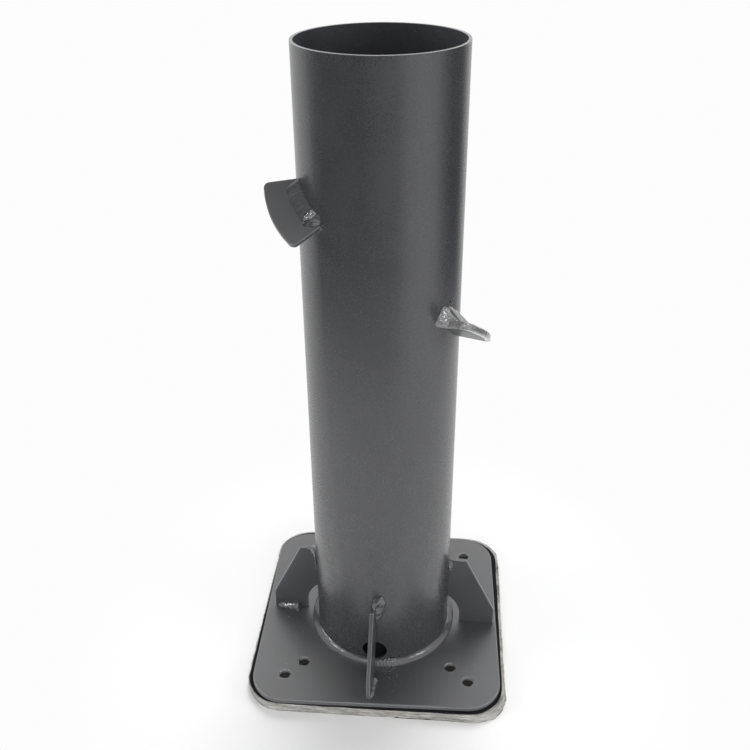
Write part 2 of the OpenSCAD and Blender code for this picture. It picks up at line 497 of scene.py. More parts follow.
@dataclass(frozen=True)
class FeltFinish:
    """Pressed pale felt: matted fibres that lie mostly level, light and dark."""

    name: str = "pale_felt"
    dark: Colour = (0.13, 0.126, 0.118, 1.0)
    middle: Colour = (0.30, 0.296, 0.283, 1.0)
    light: Colour = (0.47, 0.466, 0.452, 1.0)
    warm: Colour = (0.36, 0.317, 0.279, 1.0)
    warm_share: float = 0.6
    stretch: tuple[float, float, float] = (0.12, 0.12, 1.6)
    fibre_scale: float = 900.0
    tuft_scale: float = 420.0
    cloud_scale: float = 30.0
    relief: float = 0.0006

    def make(self) -> bpy.types.Material:
        """Builds the material and returns it."""
        material, bench, shader = new_material(self.name)
        place = bench.place()
        layered = bench.put("ShaderNodeMapping", {"Scale": self.stretch, "Vector": place})
        matted = bench.noise(layered.outputs["Vector"], self.fibre_scale, 5.0, 2.2)
        tufts = bench.noise(layered.outputs["Vector"], self.tuft_scale, 4.0, 7.4)
        broad = bench.noise(place, self.cloud_scale, 2.0, 4.4)
        colour = bench.blend(bench.ramp(matted, 0.32, 0.62), self.dark, self.middle)
        colour = bench.blend(bench.ramp(tufts, 0.44, 0.70), colour, self.light)
        warmth = bench.math("MULTIPLY", bench.ramp(broad, 0.50, 0.72), self.warm_share)
        colour = bench.blend(warmth, colour, self.warm)
        inputs = {
            "Base Color": colour,
            "Roughness": 0.92,
            "Specular IOR Level": 0.2,
            "Sheen Weight": 0.2,
            "Sheen Roughness": 0.6,
        }
        bench.fill(shader, inputs)
        raise_skin(bench, shader, bench.math("ADD", matted, tufts), self.relief)
        return material


class Finishes:
    """Every finish of the part, made once."""

    def __init__(self) -> None:
        """Makes the materials."""
        self.satin = PaintFinish("satin_paint", grey(0.034), grey(0.041)).make()
        self.flat = PaintFinish(
            "dull_paint_on_flat_steel",
            grey(0.044),
            grey(0.056),
            roughness=0.37,
            speck_tint=(0.26, 0.26, 0.265, 1.0),
            speck_spacing=0.012,
            speck_size=0.0008,
            speck_share=0.30,
        ).make()
        # The same anthracite paint as on the gussets, tinted lighter on the plate: painted light that
        # brightens the plate and its bounce onto the tube's foot.
        self.plate = PaintFinish(
            "dull_paint_on_the_plate",
            grey(0.060),
            grey(0.076),
            roughness=0.37,
            refraction=1.58,
            speck_tint=(0.26, 0.26, 0.265, 1.0),
            speck_spacing=0.012,
            speck_size=0.0008,
            speck_share=0.30,
        ).make()
        self.ring = PaintFinish(
            "smooth_paint_on_the_ring",
            grey(0.062),
            grey(0.078),
            roughness=0.22,
            grain_size=0.0014,
            speck_tint=(0.30, 0.30, 0.31, 1.0),
            speck_spacing=0.010,
        ).make()
        # Thin paint on the eased edges, tinted lighter than the faces: a painted highlight along every
        # edge.
        self.edge = PaintFinish(
            "thin_paint_on_edges",
            grey(0.095, 0.005),
            grey(0.135, 0.005),
            roughness=0.24,
        ).make()
        # Pale glossy paint in the bolt holes: its pale tint is a painted glint on the hole walls.
        self.lip = PaintFinish(
            "pale_paint_as_painted_glints_in_the_holes",
            (0.16, 0.165, 0.17, 1.0),
            (0.30, 0.305, 0.31, 1.0),
            roughness=0.18,
            grain_size=0.0008,
            coat=0.5,
        ).make()
        self.inside = PaintFinish(
            "paint_inside_the_tube",
            grey(0.036, 0.006),
            (0.054, 0.056, 0.064, 1.0),
            roughness=0.5,
            refraction=1.5,
            grain_size=0.0014,
            grain_depth=0.00006,
            speck_tint=(0.15, 0.155, 0.18, 1.0),
            speck_spacing=0.0042,
            speck_size=0.0007,
            speck_share=0.35,
        ).make()
        self.weld = PaintFinish(
            "glossy_paint_on_welds",
            grey(0.040),
            grey(0.062, 0.005),
            roughness=0.14,
            roughness_spread=0.05,
            grain_size=0.0016,
            grain_depth=0.00006,
            speck_tint=(0.30, 0.30, 0.31, 1.0),
            speck_spacing=0.006,
            speck_size=0.0005,
            coat=0.6,
        ).make()
        self.dull = PaintFinish(
            "dull_paint_on_the_left_weld",
            grey(0.034),
            grey(0.050),
            roughness=0.5,
            refraction=1.4,
            grain_size=0.0016,
            grain_depth=0.00008,
            speck_tint=(0.20, 0.20, 0.21, 1.0),
            speck_spacing=0.008,
        ).make()
        # Thick paint on the right lug's welds and near edge. Its tint and its pale specks are lightened far
        # past the same paint elsewhere, as painted glare.
        self.thick = PaintFinish(
            "thick_paint_on_the_right_weld",
            grey(0.130, 0.005),
            grey(0.240, 0.005),
            roughness=0.20,
            roughness_spread=0.08,
            grain_size=0.0014,
            grain_depth=0.00012,
            speck_tint=(0.42, 0.42, 0.43, 1.0),
            speck_spacing=0.004,
            speck_size=0.0006,
            speck_share=0.35,
            coat=0.6,
        ).make()
        self.rubber = RubberFinish().make()
        self.felt = FeltFinish().make()
        self.fibre = FeltFinish("loose_fibres", (0.30, 0.29, 0.27, 1.0), (0.52, 0.51, 0.48, 1.0)).make()


def new_object(
    name: str, mesh: bpy.types.Mesh, materials: Sequence[bpy.types.Material] = ()
) -> bpy.types.Object:
    """Puts a mesh into the scene as an object at the origin.

    Args:
        name: Name of the piece.
        mesh: Its mesh, in the frame's own coordinates.
        materials: Materials for its slots.

    Returns:
        The new object.
    """
    for material in materials:
        mesh.materials.append(material)
    piece = bpy.data.objects.new(name, mesh)
    bpy.context.scene.collection.objects.link(piece)
    return piece


def settle(piece: bpy.types.Object) -> bpy.types.Object:
    """Turns what a piece's modifiers make into its own plain mesh.

    Args:
        piece: The object, with its modifiers set.

    Returns:
        The same object, without modifiers.
    """
    graph = bpy.context.evaluated_depsgraph_get()
    made = piece.evaluated_get(graph)
    plain = bpy.data.meshes.new_from_object(made, preserve_all_data_layers=True, depsgraph=graph)
    rough = piece.data
    piece.modifiers.clear()
    piece.data = plain
    bpy.data.meshes.remove(rough)
    plain.name = piece.name
    return piece


def even_shading(piece: bpy.types.Object, crease: float = 40.0) -> None:
    """Shades a piece smoothly while its flat faces stay flat.

    Args:
        piece: The object to shade.
        crease: Angle from which an edge stays sharp, in degrees.
    """
    piece.data.shade_smooth()
    piece.data.set_sharp_from_angle(angle=math.radians(crease))
    weighted = piece.modifiers.new("flat_faces", "WEIGHTED_NORMAL")
    weighted.keep_sharp = True
    weighted.weight = 100


def hand_over(piece: bpy.types.Object, nodes: Sequence[str]) -> bpy.types.Object:
    """Lets a finished piece ride on the part in place of its CAD nodes.

    Args:
        piece: The finished object.
        nodes: CAD nodes that it stands for.

    Returns:
        The same object.
    """
    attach(piece, BODY)
    if nodes:
        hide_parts(*nodes)
    stands_for = ", ".join(nodes) or "no node"
    log.info("%s: %d faces, stands for %s", piece.name, len(piece.data.polygons), stands_for)
    return piece


def grow(name: str, carrier: bpy.types.Mesh, tree: bpy.types.NodeTree, **values: Any) -> bpy.types.Object:
    """Runs a geometry tree on a carrier mesh and keeps the result as a plain mesh.

    Args:
        name: Name of the piece.
        carrier: Mesh that the tree starts from.
        tree: The geometry node tree.
        **values: Inputs of the tree by name, with underscores for spaces.

    Returns:
        The finished object.
    """
    piece = new_object(name, carrier)
    modifier = piece.modifiers.new("growth", "NODES")
    modifier.node_group = tree
    wanted = {key.replace("_", " "): value for key, value in values.items()}
    for item in tree.interface.items_tree:
        if item.item_type == "SOCKET" and item.in_out == "INPUT" and item.name in wanted:
            modifier[item.identifier] = wanted[item.name]
    return settle(piece)


@dataclass(frozen=True)
class Station:
    """One place on a weld: its seam, an arm along each joined surface, and its roughness."""

    seam: Vector
    first_arm: Vector
    second_arm: Vector
    rough: float = 1.0


@dataclass(frozen=True)
class Bead:
    """A weld bead laid along stations."""

    name: str
    stations: Sequence[Station]
    finish: bpy.types.Material
    seed: float = 1.0
    closed: bool = False
    fullness: float = 1.4
    taper: float = 0.004
    wander: float = 0.15
    ripple_pitch: float = 0.0032
    ripple_depth: float = 0.0004
    lump_size: float = 0.006
    lump_depth: float = 0.0008
    step: float = 0.0005
    back_share: float = 0.12

    def lay(self) -> bpy.types.Object:
        """Grows the bead on its path and returns it."""
        count = len(self.stations)
        edges = [(i, i + 1) for i in range(count - 1)]
        if self.closed:
            edges.append((count - 1, 0))
        path = bpy.data.meshes.new(f"{self.name}_path")
        path.from_pydata([tuple(s.seam) for s in self.stations], edges, [])
        for key in ("seam", "first_arm", "second_arm"):
            numbers = [number for station in self.stations for number in getattr(station, key)]
            path.attributes.new(key, "FLOAT_VECTOR", "POINT").data.foreach_set("vector", numbers)
        roughness = [station.rough for station in self.stations]
        path.attributes.new("rough", "FLOAT", "POINT").data.foreach_set("value", roughness)
        piece = grow(
            self.name,
            path,
            GrowthTrees.bead(),
            Step=self.step,
            Taper=0.00001 if self.closed else self.taper,
            Fullness=self.fullness,
            Back_share=self.back_share,
            Wander=self.wander,
            Ripple_pitch=self.ripple_pitch,
            Ripple_depth=self.ripple_depth,
            Lump_size=self.lump_size,
            Lump_depth=self.lump_depth,
            Seed=self.seed,
            Finish=self.finish,
        )
        turn_outwards(piece.data)
        return piece

    def join(self, *nodes: str) -> None:
        """Lays the bead and hands it over in place of its CAD nodes."""
        hand_over(self.lay(), nodes)


@dataclass(frozen=True)
class Drop:
    """One drop of spatter that clings to a surface."""

    place: Vector
    facing: Vector
    radius: float


def lay_drops(
    name: str, drops: Sequence[Drop], finish: bpy.types.Material, seed: int
) -> bpy.types.Object:
    """Grows flattened drops of spatter.

    Args:
        name: Name of the piece.
        drops: The drops.
        finish: Their material.
        seed: Seed of their unevenness.

    Returns:
        The finished piece.
    """
    points = bpy.data.meshes.new(f"{name}_points")
    points.from_pydata([tuple(drop.place) for drop in drops], [], [])
    facing = [number for drop in drops for number in drop.facing]
    points.attributes.new("facing", "FLOAT_VECTOR", "POINT").data.foreach_set("vector", facing)
    radii = [drop.radius for drop in drops]
    points.attributes.new("radius", "FLOAT", "POINT").data.foreach_set("value", radii)
    tree = GrowthTrees.spatter()
    piece = grow(name, points, tree, Flatness=0.6, Unevenness=0.25, Seed=seed, Finish=finish)
    drop_helpers(piece.data)
    return piece


def turn_outwards(mesh: bpy.types.Mesh) -> None:
    """Turns a closed mesh's faces outwards and drops its path's attributes.

    Args:
        mesh: The mesh, changed in place.
    """
    body = bmesh.new()
    body.from_mesh(mesh)
    bmesh.ops.remove_doubles(body, verts=body.verts, dist=0.000001)
    bmesh.ops.recalc_face_normals(body, faces=body.faces)
    body.to_mesh(mesh)
    body.free()
    drop_helpers(mesh)


def drop_helpers(mesh: bpy.types.Mesh) -> None:
    """Drops the attributes that only the growth trees needed.

    Args:
        mesh: The mesh, changed in place.
    """
    for name in ("seam", "first_arm", "second_arm", "rough", "facing", "radius"):
        spare = mesh.attributes.get(name)
        if spare is not None:
            mesh.attributes.remove(spare)


BEAD_SIDES = 32
BEAD_SHOWN_PART = 0.7
BEAD_LEAST_END = 0.00002
WANDER_SCALE = 140.0
RIPPLE_WANDER = 1.4
RIPPLE_LEVEL = 0.6
LUMP_LEVEL = 0.45
FIBRE_POINTS, FIBRE_SIDES, FIBRE_RADIUS = 6, 3, 0.02
FIBRE_BEND, FIBRE_WAVE = 0.45, 0.12
LIP_POINTS, LIP_SIDES = 96, 14
STREAK_SCALE, STREAK_SEED, STREAK_LEVEL = 420.0, 2.0, 0.55
STREAK_STRETCH = (1.0, 1.0, 0.12)


class GrowthTrees:
    """Geometry node trees for what repeats or follows a path, each built once."""

    @staticmethod
    def _begin(name: str, ports: Sequence[Port]) -> NewGroup:
        """Starts a tree that takes geometry, its own inputs and a finish."""
        shapes = [Port("Geometry", SHAPE, outward=True), Port("Geometry", SHAPE)]
        return new_group(name, "GeometryNodeTree", [*shapes, *ports, Port("Finish", FINISH)])

    @staticmethod
    def _finish(group: NewGroup, shape: Any) -> bpy.types.NodeTree:
        """Ends a tree with smooth shading, real geometry and its material.

        Args:
            group: The tree's bench, its input node and its output node.
            shape: Socket of what was grown.

        Returns:
            The finished tree.
        """
        bench, given, result = group
        smooth = bench.put("GeometryNodeSetShadeSmooth", {"Geometry": shape})
        real = bench.put("GeometryNodeRealizeInstances", {"Geometry": smooth.outputs["Geometry"]})
        inputs = {"Geometry": real.outputs["Geometry"], "Material": given.outputs["Finish"]}
        dressed = bench.put("GeometryNodeSetMaterial", inputs)
        bench.feed(result.inputs["Geometry"], dressed.outputs["Geometry"])
        return bench.tree

    @staticmethod
    @cache
    def bead() -> bpy.types.NodeTree:
        """Builds the tree for a weld bead.

        The path's points carry the seam's place and two arms, one along each of the
        surfaces that the bead joins. The section runs from the tip of one arm to the
        tip of the other, and closes inside the steel.
        """
        group = GrowthTrees._begin(
            "weld_bead",
            [
                Port("Step", NUMBER, 0.0005),
                Port("Taper", NUMBER, 0.004),
                Port("Fullness", NUMBER, 1.3),
                Port("Back share", NUMBER, 0.12),
                Port("Wander", NUMBER, 0.15),
                Port("Ripple pitch", NUMBER, 0.003),
                Port("Ripple depth", NUMBER, 0.0003),
                Port("Ripple bow", NUMBER, 0.8),
                Port("Lump size", NUMBER, 0.006),
                Port("Lump depth", NUMBER, 0.0008),
                Port("Seed", NUMBER, 1.0),
            ],
        )
        bench, given, _ = group
        take = given.outputs
        line = bench.put("GeometryNodeMeshToCurve", {"Mesh": take["Geometry"]})
        inputs = {"Curve": line.outputs["Curve"], "Length": take["Step"]}
        stepped = bench.put("GeometryNodeResampleCurve", inputs, mode="LENGTH")
        run = bench.add("GeometryNodeSplineParameter")
        total = bench.add("GeometryNodeSplineLength")
        rest = bench.math("SUBTRACT", total.outputs["Length"], run.outputs["Length"])
        end = bench.math("ADD", bench.math("MINIMUM", run.outputs["Length"], rest), BEAD_LEAST_END)
        share = bench.math("DIVIDE", end, take["Taper"], clamp=True)
        along = bench.add("GeometryNodeCaptureAttribute")
        along.capture_items.new("FLOAT", "Along")
        along.capture_items.new("FLOAT", "Swell")
        inputs = {
            "Geometry": stepped.outputs["Curve"],
            "Along": run.outputs["Length"],
            "Swell": bench.math("POWER", share, 0.5),
        }
        bench.fill(along, inputs)

        ring = bench.put("GeometryNodeCurvePrimitiveCircle", {"Resolution": BEAD_SIDES, "Radius": 0.001})
        turn = bench.add("GeometryNodeSplineParameter")
        around = bench.add("GeometryNodeCaptureAttribute")
        around.capture_items.new("FLOAT", "Around")
        bench.fill(around, {"Geometry": ring.outputs["Curve"], "Around": turn.outputs["Factor"]})
        inputs = {
            "Curve": along.outputs["Geometry"],
            "Profile Curve": around.outputs["Geometry"],
            "Fill Caps": True,
        }
        body = bench.put("GeometryNodeCurveToMesh", inputs)

        shown = bench.span(around.outputs["Around"], (0.0, BEAD_SHOWN_PART), (0.0, math.pi / 2))
        sunk = bench.span(around.outputs["Around"], (BEAD_SHOWN_PART, 1.0), (0.0, math.pi * 1.5))
        angle = bench.math("ADD", shown, sunk)
        seam = bench.attribute("seam")
        first = bench.math("COSINE", angle)
        second = bench.math("SINE", angle)
        wander = bench.noise(seam, WANDER_SCALE, 1.0, take["Seed"])
        spread = bench.math("MULTIPLY", bench.math("SUBTRACT", wander, 0.5), take["Wander"])
        swell = bench.math("MULTIPLY", along.outputs["Swell"], bench.math("MULTIPLY_ADD", spread, 2.0, 1.0))
        first_part = bench.scaled(bench.attribute("first_arm"), GrowthTrees._reach(bench, first, take))
        second_part = bench.scaled(bench.attribute("second_arm"), GrowthTrees._reach(bench, second, take))
        arms = bench.scaled(bench.vector("ADD", first_part, second_part), swell)

        ahead = (bench.math("MAXIMUM", first, 0.0), bench.math("MAXIMUM", second, 0.0))
        middle = bench.math("MULTIPLY", bench.math("MULTIPLY", *ahead), 2.0)
        phase = bench.math("DIVIDE", along.outputs["Along"], take["Ripple pitch"])
        phase = bench.math("MULTIPLY_ADD", middle, take["Ripple bow"], phase)
        phase = bench.math("MULTIPLY_ADD", wander, RIPPLE_WANDER, phase)
        scale = bench.math("ABSOLUTE", bench.math("SINE", bench.math("MULTIPLY", phase, math.pi)))
        scale = bench.math("SUBTRACT", scale, RIPPLE_LEVEL)
        ripple = bench.math("MULTIPLY", scale, take["Ripple depth"])
        place = bench.vector("ADD", seam, arms)
        per_metre = bench.math("DIVIDE", 1.0, take["Lump size"])
        lumps = bench.noise(place, per_metre, 3.0, take["Seed"])
        lumps = bench.math("SUBTRACT", lumps, LUMP_LEVEL)
        lift = bench.math("MULTIPLY", lumps, take["Lump depth"])
        lift = bench.math("MULTIPLY_ADD", lift, 2.0, ripple)
        lift = bench.math("MULTIPLY", lift, bench.math("POWER", middle, 0.5))
        lift = bench.math("MULTIPLY", lift, bench.attribute("rough", "FLOAT"))
        outward = bench.scaled(bench.vector("NORMALIZE", arms), lift)
        inputs = {"Geometry": body.outputs["Mesh"], "Position": bench.vector("ADD", place, outward)}
        raised = bench.put("GeometryNodeSetPosition", inputs)
        return GrowthTrees._finish(group, raised.outputs["Geometry"])

    @staticmethod
    def _reach(bench: NodeBench, share: Any, take: Any) -> bpy.types.NodeSocket:
        """Gives how much of an arm the section takes, a little of it backwards.

        Args:
            bench: Bench of the bead's tree.
            share: Cosine or sine of the section's angle.
            take: What the tree is given, by name.

        Returns:
            The share of the arm.
        """
        ahead = bench.math("POWER", bench.math("MAXIMUM", share, 0.0), take["Fullness"])
        behind = bench.math("MAXIMUM", bench.math("MULTIPLY", share, -1.0), 0.0)
        return bench.math("SUBTRACT", ahead, bench.math("MULTIPLY", behind, take["Back share"]))

    @staticmethod
    @cache
    def spatter() -> bpy.types.NodeTree:
        """Builds the tree for weld spatter: one flattened drop on every point."""
        group = GrowthTrees._begin(
            "weld_spatter",
            [
                Port("Flatness", NUMBER, 0.6),
                Port("Unevenness", NUMBER, 0.25),
                Port("Seed", WHOLE, 3),
            ],
        )
        bench, given, _ = group
        take = given.outputs
        drop = bench.put("GeometryNodeMeshIcoSphere", {"Subdivisions": 2, "Radius": 1.0})
        inputs = {"Vector": bench.attribute("facing")}
        stand = bench.put("FunctionNodeAlignRotationToVector", inputs, axis="Z")
        low = bench.math("SUBTRACT", 1.0, take["Unevenness"])
        high = bench.math("ADD", 1.0, take["Unevenness"])
        chance = bench.add("FunctionNodeRandomValue", data_type="FLOAT_VECTOR")
        for socket, limit in ((chance.inputs["Min"], low), (chance.inputs["Max"], high)):
            bench.feed(socket, bench.combine(limit, limit, limit))
        bench.feed(chance.inputs["Seed"], take["Seed"])
        flat = bench.combine(1.0, 1.0, take["Flatness"])
        size = bench.vector("MULTIPLY", chance.outputs["Value"], flat)
        inputs = {
            "Points": take["Geometry"],
            "Instance": drop.outputs["Mesh"],
            "Rotation": stand.outputs["Rotation"],
            "Scale": bench.scaled(size, bench.attribute("radius", "FLOAT")),
        }
        drops = bench.put("GeometryNodeInstanceOnPoints", inputs)
        return GrowthTrees._finish(group, drops.outputs["Instances"])

    @staticmethod
    @cache
    def fibres() -> bpy.types.NodeTree:
        """Builds the tree for loose fibres."""
        group = GrowthTrees._begin(
            "loose_fibres",
            [
                Port("Density", NUMBER, 60000.0),
                Port("Shortest", NUMBER, 0.0008),
                Port("Longest", NUMBER, 0.0022),
                Port("Thickness", NUMBER, 0.00006),
                Port("Least lean", NUMBER, 0.9),
                Port("Most lean", NUMBER, 1.45),
                Port("Seed", WHOLE, 5),
            ],
        )
        bench, given, _ = group
        take = given.outputs
        inputs = {"Mesh": take["Geometry"], "Density": take["Density"], "Seed": take["Seed"]}
        points = bench.put("GeometryNodeDistributePointsOnFaces", inputs)
        inputs = {"Start": (0.0, 0.0, 0.0), "End": (0.0, 0.0, 1.0)}
        strand = bench.put("GeometryNodeCurvePrimitiveLine", inputs)
        inputs = {"Curve": strand.outputs["Curve"], "Count": FIBRE_POINTS}
        stepped = bench.put("GeometryNodeResampleCurve", inputs, mode="COUNT")
        run = bench.add("GeometryNodeSplineParameter")
        arc = bench.math("MULTIPLY", bench.math("POWER", run.outputs["Factor"], 2.0), FIBRE_BEND)
        wave = bench.math("SINE", bench.math("MULTIPLY", run.outputs["Factor"], 4.0))
        curl = bench.combine(arc, bench.math("MULTIPLY", wave, FIBRE_WAVE))
        inputs = {"Geometry": stepped.outputs["Curve"], "Offset": curl}
        curled = bench.put("GeometryNodeSetPosition", inputs)
        inputs = {"Seed": take["Seed"]}
        chance = bench.put("FunctionNodeRandomValue", inputs, data_type="FLOAT")
        gap = bench.math("SUBTRACT", take["Longest"], take["Shortest"])
        draw = bench.math("POWER", chance.outputs["Value"], 2.0)
        length = bench.math("MULTIPLY_ADD", draw, gap, take["Shortest"])
        inputs = {"Resolution": FIBRE_SIDES, "Radius": FIBRE_RADIUS}
        section = bench.put("GeometryNodeCurvePrimitiveCircle", inputs)
        inputs = {
            "Curve": curled.outputs["Geometry"],
            "Profile Curve": section.outputs["Curve"],
            "Fill Caps": True,
        }
        hair = bench.put("GeometryNodeCurveToMesh", inputs)
        lean = bench.add("FunctionNodeRandomValue", data_type="FLOAT_VECTOR")
        for socket, limit, spin in (
            (lean.inputs["Min"], take["Least lean"], -math.pi),
            (lean.inputs["Max"], take["Most lean"], math.pi),
        ):
            bench.feed(socket, bench.combine(0.0, limit, spin))
        bench.feed(lean.inputs["Seed"], bench.math("ADD", take["Seed"], 1.0))
        tilt = bench.put("FunctionNodeEulerToRotation", {"Euler": lean.outputs["Value"]})
        inputs = {"Rotation": points.outputs["Rotation"], "Rotate By": tilt.outputs["Rotation"]}
        turned = bench.put("FunctionNodeRotateRotation", inputs, rotation_space="LOCAL")
        thin = bench.math("DIVIDE", take["Thickness"], 2 * FIBRE_RADIUS)
        across = bench.math("MAXIMUM", thin, bench.math("MULTIPLY", length, 0.5))
        inputs = {
            "Points": points.outputs["Points"],
            "Instance": hair.outputs["Mesh"],
            "Rotation": turned.outputs["Rotation"],
            "Scale": bench.combine(across, across, length),
        }
        hairs = bench.put("GeometryNodeInstanceOnPoints", inputs)
        return GrowthTrees._finish(group, hairs.outputs["Instances"])

    @staticmethod
    @cache
    def hole_lips() -> bpy.types.NodeTree:
        """Builds the tree for the paint that lines the bolt holes."""
        group = GrowthTrees._begin(
            "hole_lips",
            [
                Port("Hole radius", NUMBER, 0.0055),
                Port("Half depth", NUMBER, 0.0027),
                Port("Build up", NUMBER, 0.0004),
                Port("Streak depth", NUMBER, 0.0006),
                Port("Seed", WHOLE, 9),
            ],
        )
        bench, given, _ = group
        take = given.outputs
        inputs = {"Resolution": LIP_POINTS, "Radius": take["Hole radius"]}
        ring = bench.put("GeometryNodeCurvePrimitiveCircle", inputs)
        level = bench.put("GeometryNodeSetCurveNormal", {"Curve": ring.outputs["Curve"]}, mode="Z_UP")
        inputs = {"Resolution": LIP_SIDES, "Radius": 1.0}
        section = bench.put("GeometryNodeCurvePrimitiveCircle", inputs)
        shaped = bench.put("GeometryNodeTransform", {"Geometry": section.outputs["Curve"]})
        oval = bench.combine(take["Build up"], take["Half depth"], 1.0)
        bench.feed(shaped.inputs["Scale"], oval)
        inputs = {"Curve": level.outputs["Curve"], "Profile Curve": shaped.outputs["Geometry"]}
        lip = bench.put("GeometryNodeCurveToMesh", inputs)
        inputs = {"Max": math.tau, "Seed": take["Seed"]}
        turn = bench.put("FunctionNodeRandomValue", inputs, data_type="FLOAT")
        inputs = {"Euler": bench.combine(z=turn.outputs["Value"])}
        spun = bench.put("FunctionNodeEulerToRotation", inputs)
        inputs = {
            "Points": take["Geometry"],
            "Instance": lip.outputs["Mesh"],
            "Rotation": spun.outputs["Rotation"],
        }
        lips = bench.put("GeometryNodeInstanceOnPoints", inputs)
        real = bench.put("GeometryNodeRealizeInstances", {"Geometry": lips.outputs["Instances"]})
        place = bench.add("GeometryNodeInputPosition").outputs["Position"]
        stretched = bench.vector("MULTIPLY", place, STREAK_STRETCH)
        streaks = bench.noise(stretched, STREAK_SCALE, 2.0, STREAK_SEED)
        normal = bench.add("GeometryNodeInputNormal").outputs["Normal"]
        streaks = bench.math("SUBTRACT", streaks, STREAK_LEVEL)
        lift = bench.math("MULTIPLY", streaks, take["Streak depth"])
        inputs = {"Geometry": real.outputs["Geometry"], "Offset": bench.scaled(normal, lift)}
        streaked = bench.put("GeometryNodeSetPosition", inputs)
        return GrowthTrees._finish(group, streaked.outputs["Geometry"])


def rounded_square(side: float, corner: float, step: float, turn: float = 0.0) -> list[Vector]:
    """Lists the outline of a square with round corners, anticlockwise from above.

    Args:
        side: Length of the square's side.
        corner: Radius of its corners.
        step: Rough distance between points.
        turn: Turn of the square, in degrees.

    Returns:
        The points, at z = 0.
    """
    straight = max(2, round((side - 2 * corner) / step))
    bend = max(4, round(corner * math.pi / 2 / step))
    spin = Matrix.Rotation(math.radians(turn), 3, "Z")
    points = []
    for quarter in range(4):
        heading = Matrix.Rotation(quarter * math.pi / 2, 3, "Z")
        reach = side / 2 - corner
        edge = [Vector((side / 2, -reach + 2 * reach * i / straight, 0.0)) for i in range(straight)]
        middle = Vector((reach, reach, 0.0))
        angles = [math.pi / 2 * i / bend for i in range(bend)]
        arc = [middle + corner * Vector((math.cos(a), math.sin(a), 0.0)) for a in angles]
        points += [spin @ heading @ p for p in edge + arc]
    return points


def circle_outline(centre: tuple[float, float], radius: float, count: int) -> list[Vector]:
    """Lists the points of a circle, anticlockwise from above."""
    middle = Vector((*centre, 0.0))
    angles = [math.tau * i / count for i in range(count)]
    return [middle + radius * Vector((math.cos(a), math.sin(a), 0.0)) for a in angles]


@dataclass
class DrilledSlab:
    """Flat slab with round corners and drilled holes, its edges given by a profile.

    Each pair of the profile holds how far the wall stands in from the outline, and its
    height. The pairs run from the slab's underside to its upper face.
    """

    name: str
    side: float
    corner: float
    profile: Sequence[tuple[float, float]]
    hole_radius: float
    hole_profile: Sequence[tuple[float, float]]
    middle: tuple[float, float] = (0.0, 0.0)
    turn: float = 0.0
    step: float = 0.004
    hole_points: int = 48

    def build(self) -> bpy.types.Mesh:
        """Builds the slab's closed mesh and returns it."""
        body = bmesh.new()
        outer = self._wall(body, [self._outline(inset, z) for inset, z in self.profile], inward=False)
        holes = []
        for centre in SIZES.hole_centres():
            rings = []
            for inset, z in self.hole_profile:
                circle = circle_outline(centre, self.hole_radius + inset, self.hole_points)
                rings.append([p + Vector((0.0, 0.0, z)) for p in circle])
            holes.append(self._wall(body, rings, inward=True))
        for level, upward in ((0, False), (-1, True)):
            loops = [outer[level]] + [hole[level] for hole in holes]
            self._cap(body, loops, upward)
        mesh = bpy.data.meshes.new(self.name)
        bmesh.ops.recalc_face_normals(body, faces=body.faces)
        body.to_mesh(mesh)
        body.free()
        return mesh

    def _outline(self, inset: float, height: float) -> list[Vector]:
        """Lists the slab's outline at one height, with the same points for each inset.

        Args:
            inset: How far the outline is drawn in.
            height: Its height above the floor.

        Returns:
            The points, anticlockwise from above.
        """
        base = rounded_square(self.side, self.corner, self.step, self.turn)
        inner = self.side / 2 - self.corner
        spin = Matrix.Rotation(math.radians(-self.turn), 3, "Z")
        points = []
        for p in base:
            q = spin @ p
            core = Vector((max(-inner, min(inner, q.x)), max(-inner, min(inner, q.y)), 0.0))
            out = (q - core).normalized()
            points.append(spin.inverted() @ (q - out * inset) + Vector((*self.middle, height)))
        return points

    @staticmethod
    def _wall(
        body: bmesh.types.BMesh, rings: Sequence[Sequence[Vector]], inward: bool
    ) -> list[list[bmesh.types.BMVert]]:
        """Adds a wall through rings of points.

        Args:
            body: The mesh that it is added to.
            rings: Points of each ring, from the lowest up.
            inward: Whether the wall faces the rings' middle.

        Returns:
            The rings' vertices.
        """
        made = [[body.verts.new(p) for p in ring] for ring in rings]
        for low, high in zip(made, made[1:]):
            for i in range(len(low)):
                j = (i + 1) % len(low)
                corners = [low[i], low[j], high[j], high[i]]
                body.faces.new(corners[::-1] if inward else corners)
        return made

    @staticmethod
    def _cap(
        body: bmesh.types.BMesh, loops: Sequence[Sequence[bmesh.types.BMVert]], upward: bool
    ) -> None:
        """Closes the slab between its outline and its holes.

        Args:
            body: The mesh that the face is added to.
            loops: Vertices of the outline, then of every hole.
            upward: Whether the face looks up.
        """
        flat = [vertex for loop in loops for vertex in loop]
        for corners in tessellate_polygon([[v.co for v in loop] for loop in loops]):
            a, b, c = (flat[i] for i in corners)
            normal = (b.co - a.co).cross(c.co - a.co)
            ordered = [a, b, c] if (normal.z > 0) == upward else [a, c, b]
            body.faces.new(ordered)


def round_profile(bottom: float, top: float, radius: float, steps: int = 4) -> list[tuple[float, float]]:
    """Lists a wall's profile with rounded edges at its top and bottom.

    Args:
        bottom: Height of the underside.
        top: Height of the upper face.
        radius: Radius of both edges.
        steps: Segments of each rounding.

    Returns:
        Pairs of inset and height, from the underside up.
    """
    angles = [math.pi / 2 * i / steps for i in range(steps + 1)]
    low = [(radius * (1 - math.sin(a)), bottom + radius * (1 - math.cos(a))) for a in angles]
    high = [(radius * (1 - math.cos(a)), top - radius * (1 - math.sin(a))) for a in angles]
    return low + high


